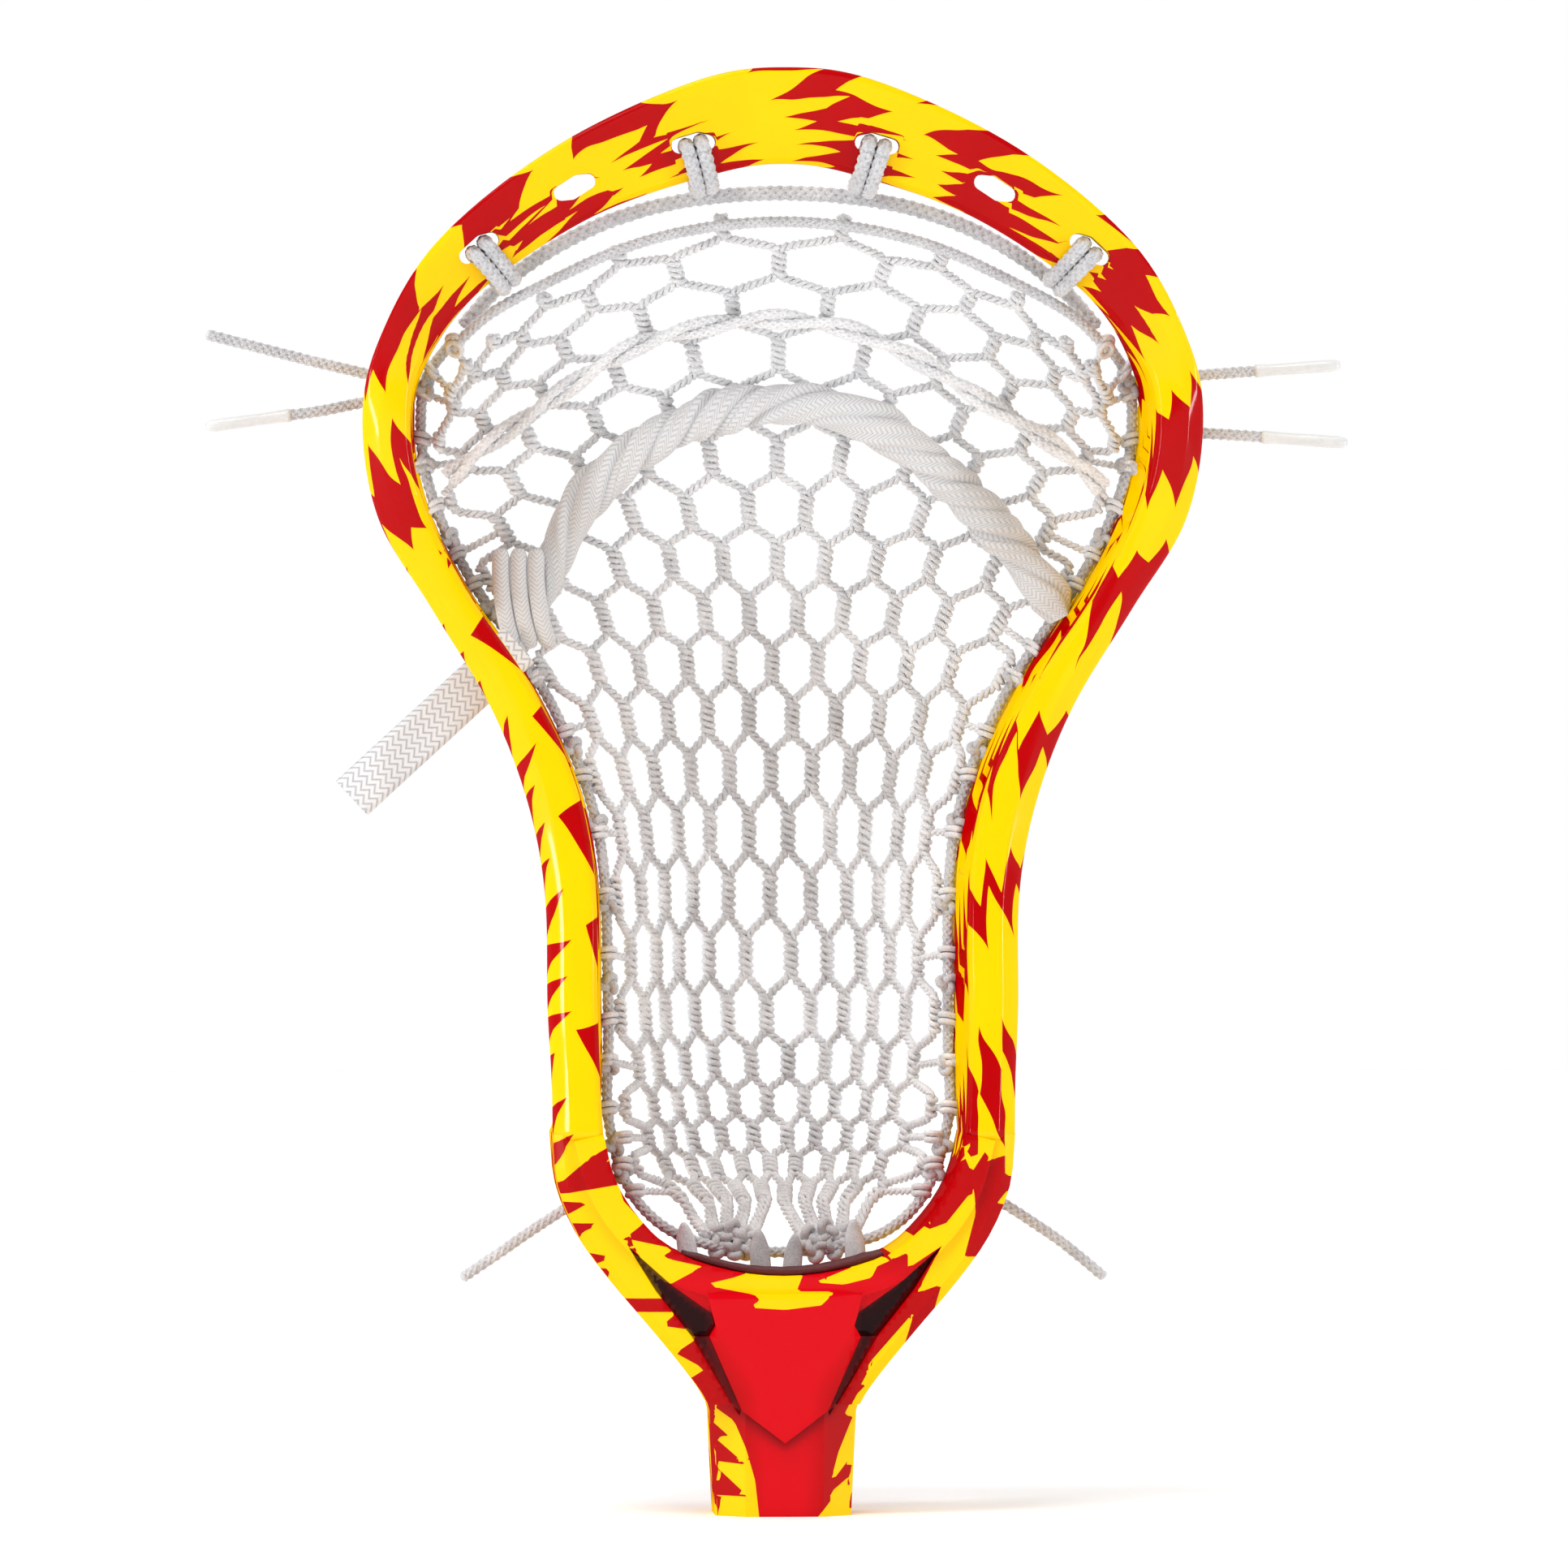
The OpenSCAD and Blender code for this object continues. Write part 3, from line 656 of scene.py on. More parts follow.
def round_corners(outline, r):
    """Each corner of a closed outline becomes a short arc of three points."""
    points = []
    n = len(outline)
    for i in range(n):
        a, b, c = outline[i - 1], outline[i], outline[(i + 1) % n]
        back, ahead = a - b, c - b
        back *= min(r / max(np.linalg.norm(back), 1e-9), 0.45)
        ahead *= min(r / max(np.linalg.norm(ahead), 1e-9), 0.45)
        points += [b + back, b + (back + ahead) / 4, b + ahead]
    return np.array(points)


def loft(rings):
    """A closed skin over rings of equally many points."""
    rings = np.asarray(rings, float)
    n, m, _ = rings.shape
    index = np.arange(n * m).reshape(n, m)
    cur, nxt = index[:-1], index[1:]
    quads = np.stack([cur, nxt, np.roll(nxt, -1, axis=1), np.roll(cur, -1, axis=1)], axis=-1).reshape(-1, 4)
    return rings.reshape(-1, 3), quads.tolist() + [index[0].tolist(), index[-1, ::-1].tolist()]


def hoop_rows():
    """The hoop's rows, with a tucked-in foot at each end that sits inside the throat."""
    rows = smooth(FULL_HOOP, hoop_steps)
    foot = rows[0] + np.array([-0.4, -1.2, 0.4, -1.2, 0.4, -0.4, 0, 0])
    return np.vstack([[foot], rows, [foot * FLIP]])


def hoop_mesh():
    rings = []
    for r in hoop_rows():
        inner, out, _ = edges(r)
        outline = round_corners(section(r), corner_r)
        rings.append([[inner[0] + out[0] * a, b, inner[1] + out[1] * a] for a, b in outline])
    return loft(rings)


def prism(outline, origin, x_axis, y_axis, z_axis, low, high):
    """A flat outline pushed through along z_axis, for cutting."""
    base = [origin + x_axis * a + y_axis * b for a, b in outline]
    n = len(base)
    verts = np.array([p + z_axis * low for p in base] + [p + z_axis * high for p in base])
    faces = [[i, (i + 1) % n, n + (i + 1) % n, n + i] for i in range(n)]
    faces += [list(range(n))[::-1], list(range(n, 2 * n))]
    return verts, faces


def rounded_polygon(corners, r, steps=6):
    """A convex outline, given counter-clockwise by its corner circles' centres."""
    n = len(corners)
    c = np.asarray(corners, float)
    points = []
    for i in range(n):
        a, b = c[i] - c[i - 1], c[(i + 1) % n] - c[i]
        start = math.atan2(-a[0], a[1])
        turn = (math.atan2(-b[0], b[1]) - start) % (2 * math.pi)
        for k in range(steps + 1):
            w = start + turn * k / steps
            points.append(c[i] + r * np.array([math.cos(w), math.sin(w)]))
    return points


def rim_frame(r):
    """A hoop row's inner point in the face plane, its outward vector and the one along the rim."""
    inner, out, _ = edges(r)
    return np.array([inner[0], 0, inner[1]]), np.array([out[0], 0, out[1]]), np.array([out[1], 0, -out[0]])


# The side walls' windows and string holes start at these hoop rows and run on for so many rows
window_start, window_run = 2.0, 5.1
hole_start, hole_run = 1.6, 6.7
windows = 4
window_length = 27.0
window_front_gap = 3.0
window_back_gap = 8.5
window_corner = 2.0
window_lean = 3.0
rail_holes = 9
string_hole_d = 3.8
scoop_hole_places = (10.2, 10.98, 11.88)
scoop_hole_out = 7.4
scoop_hole_r = 1.7
scoop_hole_corners = [(-3.2, -0.5), (1.2, -0.5), (3.2, 0.5), (-1.2, 0.5)]
BACKWARD = np.array([0.0, 1.0, 0.0])


def window_cutter(place):
    r = row_at(place)
    inner, out, rim = rim_frame(r)
    low, high = r[4] + rim_depth + window_front_gap, r[5] - window_back_gap
    half, tall = window_length / 2 - window_corner, (high - low) / 2 - window_corner
    corners = [(up * half + side * window_lean - up * window_lean, side * tall)
               for up, side in ((-1, -1), (1, -1), (1, 1), (-1, 1))]
    outline = rounded_polygon(corners, window_corner)
    return prism(outline, inner + BACKWARD * (low + high) / 2, rim, BACKWARD, out, -rail_w, 2 * rail_w)


def string_hole_cutter(place):
    r = row_at(place)
    inner, out, rim = rim_frame(r)
    y = (section(r)[11, 1] + section(r)[12, 1]) / 2
    circle = [string_hole_d / 2 * np.array([math.cos(a), math.sin(a)]) for a in full_turn(24)]
    return prism(circle, inner + BACKWARD * y, rim, BACKWARD, out, -rail_w, 2 * rail_w)


def scoop_hole_cutter(place):
    inner, out, rim = rim_frame(row_at(place))
    outline = rounded_polygon(scoop_hole_corners, scoop_hole_r)
    return prism(outline, inner + out * scoop_hole_out, rim, out, BACKWARD, -45, 45)


def hoop_cutters():
    parts = [window_cutter(window_start + window_run * i / (windows - 1)) for i in range(windows)]
    parts += [string_hole_cutter(hole_start + hole_run * i / (rail_holes - 1)) for i in range(rail_holes)]
    parts += [scoop_hole_cutter(place) for place in scoop_hole_places]
    return [one for part in parts for one in (part, mirror_image(part))]


def scratch(name, geometry):
    """A temporary object for a boolean."""
    mesh = bpy.data.meshes.new(name)
    mesh.from_pydata((np.asarray(geometry[0]) * MM).tolist(), [], geometry[1])
    o = placed(name, mesh)
    bm = bmesh.new()
    bm.from_mesh(mesh)
    bmesh.ops.recalc_face_normals(bm, faces=bm.faces)
    bm.to_mesh(mesh)
    bm.free()
    return o


def applied(o):
    """Bakes an object's modifiers into its mesh."""
    graph = bpy.context.evaluated_depsgraph_get()
    mesh = bpy.data.meshes.new_from_object(o.evaluated_get(graph))
    o.modifiers.clear()
    o.data = mesh
    return o


def cut_away(o, other):
    """Takes another object's volume out of this one and removes the other."""
    m = o.modifiers.new("cut", "BOOLEAN")
    m.operation = "DIFFERENCE"
    m.object = other
    m.solver = "EXACT"
    applied(o)
    bpy.data.objects.remove(other)
    return o


def bevelled(o, width, segments):
    """Rounds the edges that carry a bevel weight."""
    m = o.modifiers.new("bevel", "BEVEL")
    m.width = width * MM
    m.segments = segments
    m.limit_method = "WEIGHT"
    m.use_clamp_overlap = True
    return applied(o)


shield_bevel = 1.5
edge_bevel_share = 0.4


def throat_copy():
    """The CAD throat's mesh as a new object, its flat faces whole again and its edges rounded."""
    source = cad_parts["throat_and_socket"].data
    mesh = bpy.data.meshes.new("throat")
    bm = bmesh.new()
    bm.from_mesh(source)
    bmesh.ops.remove_doubles(bm, verts=bm.verts, dist=2e-6)
    bmesh.ops.dissolve_limit(bm, angle_limit=math.radians(0.5), verts=bm.verts, edges=bm.edges)
    weight = bm.edges.layers.float.new("bevel_weight_edge")
    for e in bm.edges:
        at_hoop = all(v.co.z > (hoop_base - 0.1) * MM for v in e.verts)
        on_shield = all(v.co.y < (shield_front + 0.1) * MM for v in e.verts)
        if not at_hoop and e.calc_face_angle(0) > math.radians(28):
            e[weight] = 1.0 if on_shield else edge_bevel_share
    bm.to_mesh(mesh)
    bm.free()
    o = placed("throat", mesh)
    return gridded(bevelled(o, shield_bevel, 3))


def gridded(o):
    """Cuts a mesh's faces along a regular grid, so that its flow attribute follows every curve."""
    bm = bmesh.new()
    bm.from_mesh(o.data)
    bmesh.ops.triangulate(bm, faces=[f for f in bm.faces if len(f.verts) > 4])
    for axis, low, high, step in ((0, -51.0, 51.0, grid_step), (1, -12.0, 14.0, 2 * grid_step),
                                  (2, 1.0, hoop_base - 1.0, grid_step)):
        normal = [0, 0, 0]
        normal[axis] = 1
        for d in np.arange(low, high, step):
            place = [0, 0, 0]
            place[axis] = d * MM
            bmesh.ops.bisect_plane(bm, geom=bm.verts[:] + bm.edges[:] + bm.faces[:], dist=1e-7,
                                   plane_co=place, plane_no=normal)
    bm.to_mesh(o.data)
    bm.free()
    return o


# Right half of the throat in the face plane: the arch's edge and the outer edge
ARCH = [(39.8, 84), (37.2, 74), (31.8, 65.4), (23.5, 58), (11.6, 54), (0, 52.8)]
OUTSIDE = [(50.8, 84), (49.6, 72.5), (45, 61.5), (38, 51.6), (29, 41), (20.8, 31), (16.6, 24.6), (15.5, 12),
           (15, 0)]

# The throat's yellow print, as outlines in the face plane
PRINT = [
    # left arm, foot and arch
    [(-55, 90), (-39, 90), (-40, 82), (-41.5, 80), (-49, 73.5), (-54, 73.5), (-50.5, 77), (-45.5, 84),
     (-51.5, 81.5), (-55, 81.5)],
    [(-54, 71), (-48, 71), (-36.5, 73), (-35.5, 69.5), (-31, 64.5), (-35.5, 61), (-29, 52.5), (-26, 48),
     (-43, 48), (-38.5, 53), (-38.5, 54.5), (-44, 55), (-37, 57), (-46, 58.5), (-44.5, 62.5), (-40, 64.5),
     (-51, 64.5), (-46.5, 67), (-43, 69), (-54, 69.5)],
    [(-34, 61), (-24.5, 59), (-27, 57), (-18, 55), (-25.5, 51), (-30, 54)],
    # left tongues and socket
    [(-36, 45), (-23.5, 45), (-27, 42), (-20, 41), (-19.5, 39), (-24, 36), (-17.5, 32.5), (-20.5, 30.5),
     (-28, 33)],
    [(-19, 24.5), (-16, 24.5), (-11, 21), (-8.5, 15), (-6.5, 8), (-5.5, -1), (-19, -1), (-19, 4.5), (-8, 4.5),
     (-15, 11), (-19, 11), (-15, 12), (-8.5, 11.5), (-15.5, 17.5), (-12, 17.5), (-16.5, 21.5)],
    # arch
    [(-18, 51), (-11.5, 52.5), (-5.5, 54.5), (4.5, 54.5), (2.5, 49.5), (11, 49.5), (8, 46.5), (0, 45.5),
     (-7.5, 46), (-5, 48.5)],
    [(6.5, 51.5), (21.5, 57.5), (19, 52.5), (13, 51)],
    # right arm and foot
    [(39, 90), (55, 90), (55, 74.5), (50.5, 74.5), (48.5, 75), (48.5, 81.5), (46, 78), (45.5, 82.5),
     (41, 75.5), (39.5, 79)],
    [(55, 68), (46.5, 68.5), (49, 71.5), (55, 72)],
    [(41.5, 72), (42, 66.5), (39.5, 57), (47, 57), (39, 46), (33, 45.5), (34.5, 51), (29, 49), (34.5, 59.5),
     (27, 54.5), (27, 58), (18, 54), (27.5, 61), (32, 65), (31.5, 63), (35.5, 64.5)],
    # right tongue and socket
    [(28.5, 45), (26.5, 38), (24, 35), (28.5, 30), (21, 22.5), (15, 22), (13, 21.5), (16, 27), (18.5, 29.5),
     (16.5, 28.5), (19.5, 34), (17.5, 32.5)],
    [(17, 22), (15.5, 22), (12, 14), (10, 7), (15, 13), (17, 13.5)],
    [(17, 8.5), (14.5, 8.5), (8.5, 4), (11.5, 5), (6.5, -1), (17, -1)],
]
# Half the width of an outline's soft edge, and the height over which the rim's pattern fades out
print_edge = 1.5
rim_print_fades = 8.0
# How near the outer edge the throat's outer walls lie, and an arm's width and front
wall_reach = 1.6
arm_width = 11.0
arm_front = -12.0
# How far the print moves on for each millimetre it wraps back round an edge
print_wrap = 0.7
# The groove beside the shield, where shade is painted in, and the shield's own edge, right half, in the face
# plane
GROOVE = [(34.4, 59.4), (24.8, 50.9), (16, 44.7), (15.2, 42), (16.6, 39.6), (9.5, 23.4), (9.9, 22.2),
          (13.8, 28.4), (20.4, 39.6), (28.3, 49.6)]
groove_floor = -12.6
SHIELD = [(0, 16.2), (9.5, 23.4), (16.6, 39.6), (15.2, 42), (16, 44.7)]
# How dark the painted shade in the groove and the painted shadow under the shield's edge get
groove_painted_shade = 0.95
shield_step_painted_shadow = 0.6


def search_tree(points):
    tree = KDTree(len(points))
    for i, p in enumerate(points):
        tree.insert(p, i)
    tree.balance()
    return tree


def edge_distance(line, x, z):
    """Each point's distance from a line of straight runs."""
    near = np.full(len(x), 1e9)
    for (x1, z1), (x2, z2) in zip(line[:-1], line[1:]):
        dx, dz = x2 - x1, z2 - z1
        share = np.clip(((x - x1) * dx + (z - z1) * dz) / (dx * dx + dz * dz), 0, 1)
        near = np.minimum(near, np.hypot(x - x1 - share * dx, z - z1 - share * dz))
    return near


def inside(outline, x, z):
    """Whether each point lies in a closed outline."""
    found = np.zeros(len(x), bool)
    for (x1, z1), (x2, z2) in zip(outline, outline[1:] + outline[:1]):
        if z1 != z2:
            found ^= ((z1 > z) != (z2 > z)) & (x < (x2 - x1) * (z - z1) / (z2 - z1) + x1)
    return found


def outline_depth(outline, x, z):
    """Each point's distance from an outline's edge, above 0 inside it."""
    return edge_distance(outline + outline[:1], x, z) * np.where(inside(outline, x, z), 1, -1)


def rim_flow(places):
    """Each place's millimetres along the rim and out across it."""
    rows = hoop_rows()
    rows = rows[1:len(rows) // 2 + 1]
    middle = np.array([[(r[0] + r[2]) / 2, 0, (r[1] + r[3]) / 2] for r in rows])
    outside = smooth([(x, 0, z) for x, z in OUTSIDE], 16)
    s_hoop, s_out = lengths(middle), lengths(outside)
    foot = s_hoop[-1]
    hoop_tree, out_tree = search_tree(middle), search_tree(outside)
    flow = np.zeros((len(places), 2))
    for k, (x, y, z) in enumerate(places):
        side = 1 if x >= 0 else -1
        x = abs(x)
        if z >= hoop_base - 0.01:
            _, i, _ = hoop_tree.find((x, 0, z))
            inner, out, w = edges(rows[i])
            offset = np.array([x, z]) - inner
            s = foot - s_hoop[i] - offset @ np.array([-out[1], out[0]])
            t = offset @ out
            wrap = max(0.0, y - rows[i][4] - 2.0) * print_wrap
            outer = t > w * 0.55
        else:
            _, j, d = out_tree.find((x, 0, z))
            s = foot + s_out[j]
            t = arm_width - d
            wrap = max(0.0, y - arm_front) * print_wrap
            outer = d < arm_width / 2
        flow[k] = s * side, t + (wrap if outer else -wrap)
    return flow


def flow_attribute(mesh):
    """The print's coordinates and outlines on every vertex, and tones that include painted shade in the
    grooves and a painted shadow under the shield's edge.
    """
    places = np.empty(3 * len(mesh.vertices), np.float32)
    mesh.vertices.foreach_get("co", places)
    places = (places.reshape(-1, 3) / MM).astype(float)
    x, y, z = places.T
    in_throat = z < hoop_base - 0.01
    printed = np.max([outline_depth(outline, x, z) for outline in PRINT], axis=0)
    flow = np.column_stack([rim_flow(places), np.clip(printed / print_edge, -1, 1)])
    inward = edge_distance(OUTSIDE, np.abs(x), z)
    centre = np.clip((inward - 6) / 5, 0, 1) * np.clip((58 - z) / 6, 0, 1)
    # Painted shade: darker inside each groove, fully so higher up, and a painted shadow in a band along the
    # step under the shield's edge
    grooves = outline_depth(GROOVE, np.abs(x), z)
    sunk = (y > -14.6) & (y < groove_floor + 9)
    deep = np.clip((grooves + 0.6) / 1.6, 0, 1) * sunk * np.clip((z - 20) / 18, 0.35, 1)
    below_shield = (y > shield_front + 0.5) * (z < 47)
    step = np.clip(1 - edge_distance(SHIELD, np.abs(x), z) / 2.2, 0, 1) * below_shield
    shade = np.maximum(deep * groove_painted_shade, step * shield_step_painted_shadow) * in_throat
    reach = np.where(in_throat, np.clip(1 - (hoop_base - z) / rim_print_fades, 0, 1), 1)
    on_wall = np.clip((y + 11) / 4, 0, 1) * (inward < wall_reach)
    tone = np.column_stack([centre, shade, np.maximum(reach, on_wall)])
    store(mesh, "flow", flow)
    store(mesh, "tone", tone)


def moulding():
    hoop = scratch("hoop", hoop_mesh())
    hoop = cut_away(hoop, scratch("cutters", joined(hoop_cutters())))
    throat = throat_copy()
    bm = bmesh.new()
    bm.from_mesh(hoop.data)
    bm.from_mesh(throat.data)
    mesh = bpy.data.meshes.new("head_moulding")
    bmesh.ops.triangulate(bm, faces=[f for f in bm.faces if len(f.verts) > 4])
    bm.to_mesh(mesh)
    bm.free()
    for o in (hoop, throat):
        bpy.data.objects.remove(o)
    flow_attribute(mesh)
    mesh.materials.clear()
    mesh.materials.append(PLASTIC)
    piece = placed("head_moulding", mesh)
    mesh.shade_smooth()
    mesh.set_sharp_from_angle(angle=math.radians(32))
    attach(piece, "root")
    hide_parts("scoop_and_sidewalls", "throat_and_socket")


moulding()


# ---- Routes of the frame's strings, which repeat the CAD model's ----

loop_d = 3.2
TOP_UPPER = [(-70, 4, 262), (-62, 1.5, 270.5), (-50, -1.5, 279), (-36, -3, 285.5), (-20, -3.5, 289.5),
             (0, -3.5, 291)]
TOP_LOWER = [(-72, 2, 257.5), (-64, -2, 264.5), (-50, -4, 272), (-34, -6, 279), (-18, -7, 283),
             (0, -7.5, 284.5)]
SIDE_STRING = [(38, 11, 90), (37.7, 12, 104), (37.8, 14, 120), (38.1, 17, 136), (39.6, 20, 150),
               (43.5, 22, 164), (49.7, 23, 178), (57.4, 24, 191), (66.4, 24, 204), (73.5, 23, 217),
               (78, 21, 230), (79.1, 18, 242)]
BOTTOM_STRING = [(-35, 12.5, 75), (-31, 11, 68), (-25, 10, 62.5), (-18, 10, 59.5), (-9, 12, 57.6),
                 (0, 13, 57), (9, 12, 57.6), (18, 10, 59.5), (25, 10, 62.5), (31, 11, 68), (35, 12.5, 75)]
# The side string runs on past its CAD node, down to the bottom string and up to the top strings
STRING_FOOT = [(35, 12.5, 75), (36.8, 11.6, 82)]
STRING_LINK = [(77.8, 13, 251), (72.5, 6.5, 258.5)]
WHOLE_SIDE_STRING = STRING_FOOT + SIDE_STRING + STRING_LINK


# ---- Net: a lattice of knitted cords on the pocket's surface ----

pocket_depth = 56.0
# Centre z, half width, how far the edges drop below the centre, centre y as a share of the
# pocket's depth, and edge y
POCKET = np.array([
    [64, 20, -1, 0.26, 12],
    [70, 28, -1, 0.6, 12.5],
    [77, 32.5, -1, 0.84, 13],
    [90, 34, 0, 0.96, 13],
    [110, 35, 0, 1, 14],
    [132, 35.4, 0, 0.97, 17],
    [156, 38.2, 1, 0.87, 21.5],
    [182, 47.8, 2, 0.72, 24],
    [208, 63, 4, 0.54, 25],
    [234, 72.5, 10, 0.36, 22.5],
    [262, 75, 22, 0.16, 15],
    [287, 70, 34, -0.09, 3]])
POCKET_FINE = smooth(POCKET, 24)
edge_power = 2.2

# Heights of the lattice's rows of joints, at the net's middle, and how much each row's columns
# crowd towards the middle (below 1) or towards the edges (above 1)
NET_ROWS = [(285, 1.75), (276, 1.5), (267, 1.35), (256, 1.2), (245, 1.1), (234, 1.0), (222, 0.9),
            (211, 0.85), (199, 0.85), (188, 0.9), (176, 0.95), (164, 0.95), (150.5, 0.92), (136, 0.88),
            (122, 0.85), (109, 0.82), (98, 0.76), (89, 0.7), (81.5, 0.66), (75, 0.64), (69.5, 0.66)]
net_columns = 10
joint_share = 0.66
net_cord_d = 2.25
net_step = 0.74
stitch_r = 0.56
tie_d = 1.9
tie_turn_r = 1.7
tie_turn_cord_r = 0.7
# Half the joint stitches' width, and their spacing along a joint
stitch_half = 1.3
stitch_gap = 1.75


def pocket_row(z):
    """The pocket's row whose middle is at height z."""
    return np.array([np.interp(z, POCKET_FINE[:, 0], POCKET_FINE[:, k]) for k in range(5)])


def pocket_point(row, u):
    fall = np.abs(u) ** edge_power
    y = row[4] + (row[3] * pocket_depth - row[4]) * (1 - fall)
    return np.stack([row[1] * u, y, row[0] - row[2] * fall], axis=-1)


def across_share(row, share):
    """The u at which this share of the row's length, from its middle to an edge, is passed."""
    u = np.linspace(0, 1, 60)
    d = lengths(pocket_point(row, u))
    return np.interp(share, d / d[-1], u)


def column_u(row, crowd, c):
    """u of column place c, from -1 to 1."""
    share = 1 - (1 - abs(c)) ** crowd if abs(c) < 1 else 1.0
    return math.copysign(float(across_share(row, share)), c)


def net_point(z, crowd, c):
    row = pocket_row(z)
    return pocket_point(row, column_u(row, crowd, c))


def row_levels():
    """Each row's joint: height and crowding at its top, its middle and its bottom."""
    z = np.array([r[0] for r in NET_ROWS])
    crowd = np.array([r[1] for r in NET_ROWS])
    levels = []
    for i in range(len(z)):
        up = (z[i - 1] - z[i]) if i else z[0] - z[1]
        down = (z[i] - z[i + 1]) if i + 1 < len(z) else z[-2] - z[-1]
        top = min(z[i] + up * joint_share / 2, 287)
        bottom = z[i] - down * joint_share / 2
        order = z[::-1], crowd[::-1]
        levels.append([(h, float(np.interp(h, *order))) for h in (top, z[i], bottom)])
    return levels


LEVELS = row_levels()


def joint_columns(i):
    step = 2 / net_columns
    if i % 2:
        return [-1 + step * k for k in range(net_columns + 1)]
    return [-1 + step * (k + 0.5) for k in range(net_columns)]


def joint_ends(i, c):
    """Top, middle and bottom of a joint, and its sideways and outward directions."""
    jitter = rng.normal(0, 0.28, 3) * (abs(c) < 1)
    top, middle, bottom = (net_point(h, crowd, c) for h, crowd in LEVELS[i])
    along = unit(bottom - top)
    row = pocket_row(LEVELS[i][1][0])
    u = column_u(row, LEVELS[i][1][1], c)
    left, right = pocket_point(row, max(u - 0.04, -1)), pocket_point(row, min(u + 0.04, 1))
    side = unit(right - left)
    side = unit(side - along * (side @ along))
    normal = np.cross(side, along)
    return top + jitter, middle + jitter, bottom + jitter, side, normal


def wale(k, joints):
    """One knitted cord from the net's top edge to the throat: it shares every joint with a neighbour."""
    step = 2 / net_columns
    centre = -1 + step / 4 + step / 2 * k
    points = []
    for i in range(len(LEVELS)):
        c = min(joint_columns(i), key=lambda place: abs(place - centre))
        way = 1 if centre > c else -1
        top, middle, bottom, side, _ = joints[i, round(c, 4)]
        off = side * way * net_cord_d * 0.3
        points += [top + off * 0.8, middle + off, bottom + off * 0.8]
    share = abs(centre)
    end = np.array([math.copysign(5.5 + 12 * share, centre), 10.5, 59.0 + 2.5 * share])
    points.append(points[-1] * 0.5 + end * 0.5 + [0, 1.5, -0.5])
    points.append(end)
    return route(points, net_step, 8)


def tie(i, c, ends):
    """A short cord from the net's edge with two turns round the string that holds it."""
    middle = ends[1]
    side = 1 if c > 0 else -1
    string = np.vstack([smooth(WHOLE_SIDE_STRING, 10), smooth(mirrored(TOP_LOWER), 10)]) * [side, 1, 1]
    near = string[np.argmin(np.linalg.norm(string - middle, axis=1))]
    if i >= len(NET_ROWS) - 3:
        near = np.array([side * np.interp(middle[2], [66, 75], [29.5, 34.5]), 11.5, middle[2] + 0.5])
    reach = unit(near - middle)
    over = unit(np.cross(reach, [0, 0.3, 1]))
    around = full_turn(14)
    cord = twist(route([middle, (middle + near) / 2 + [0, 0.6, 0], near], 0.6, 8), tie_d, 3.0, 6)
    turn = near + tie_turn_r * (np.outer(np.cos(around), reach) + np.outer(np.sin(around), over))
    turns = [turn + [0, 0, off] for off in (-0.75, 0.75)]
    return joined([cord, tubes(turns, tie_turn_cord_r, 6, closed=True)])


def knitted_net():
    joints = {}
    for i in range(len(LEVELS)):
        for c in joint_columns(i):
            joints[i, round(c, 4)] = joint_ends(i, c)
    ropes = [twist(wale(k, joints), net_cord_d, 3.3, 5, phase=k, facing=(0.05, -1, 0.02))
             for k in range(2 * net_columns)]
    cords = make("net_cords", joined(ropes), NET)
    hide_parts("mesh_pocket")
    wraps = []
    angle = full_turn(12)
    for (i, c), (top, _, bottom, side, normal) in joints.items():
        count = max(2, int(round(np.linalg.norm(bottom - top) / stitch_gap)))
        half = stitch_half * (0.7 if abs(c) >= 1 else 1.0)
        along = unit(bottom - top)
        for w in range(count):
            at = (w + 0.5) / count
            centre = top + (bottom - top) * (0.04 + 0.92 * at) + rng.normal(0, 0.05, 3)
            slope = 0.5 + rng.normal(0, 0.08)
            wraps.append(centre + np.outer(np.cos(angle) * half, side) + np.outer(np.sin(angle), normal)
                         + np.outer(np.cos(angle) * slope, along))
    ties = [tie(i, c, ends) for (i, c), ends in joints.items() if abs(c) > 0.85]
    make("net_edge_ties", joined(ties), NET)
    make("net_joint_stitches", tubes(wraps, stitch_r, 6, closed=True), NET)


knitted_net()


# ---- Strings of the frame ----

def whole(half):
    """A route given from its left end to the middle, and on to its right end."""
    return list(half) + mirrored(half)[1:]


def knot(centre, size, seed):
    """A small overhand knot: a few turns of cord pulled tight round one another."""
    r = np.random.default_rng(seed)
    a = full_turn(39)
    turn = r.uniform(0, math.pi)
    loop = np.stack([np.sin(a) + 1.6 * np.sin(2 * a), 1.1 * np.sin(3 * a), np.cos(a) - 1.6 * np.cos(2 * a)],
                    axis=1) * size * 0.36
    c, s = math.cos(turn), math.sin(turn)
    loop = loop @ np.array([[c, 0, s], [0, 1, 0], [-s, 0, c]])
    return tubes([loop + centre], size * 0.42, 7, closed=True)


def top_strings():
    upper = braid(route(whole(TOP_UPPER)), loop_d, 9)
    lower = braid(route(whole(TOP_LOWER)), string_d, 7)
    piece = make("top_string_braid", joined([upper, lower]), CORD)
    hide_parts("top_string")


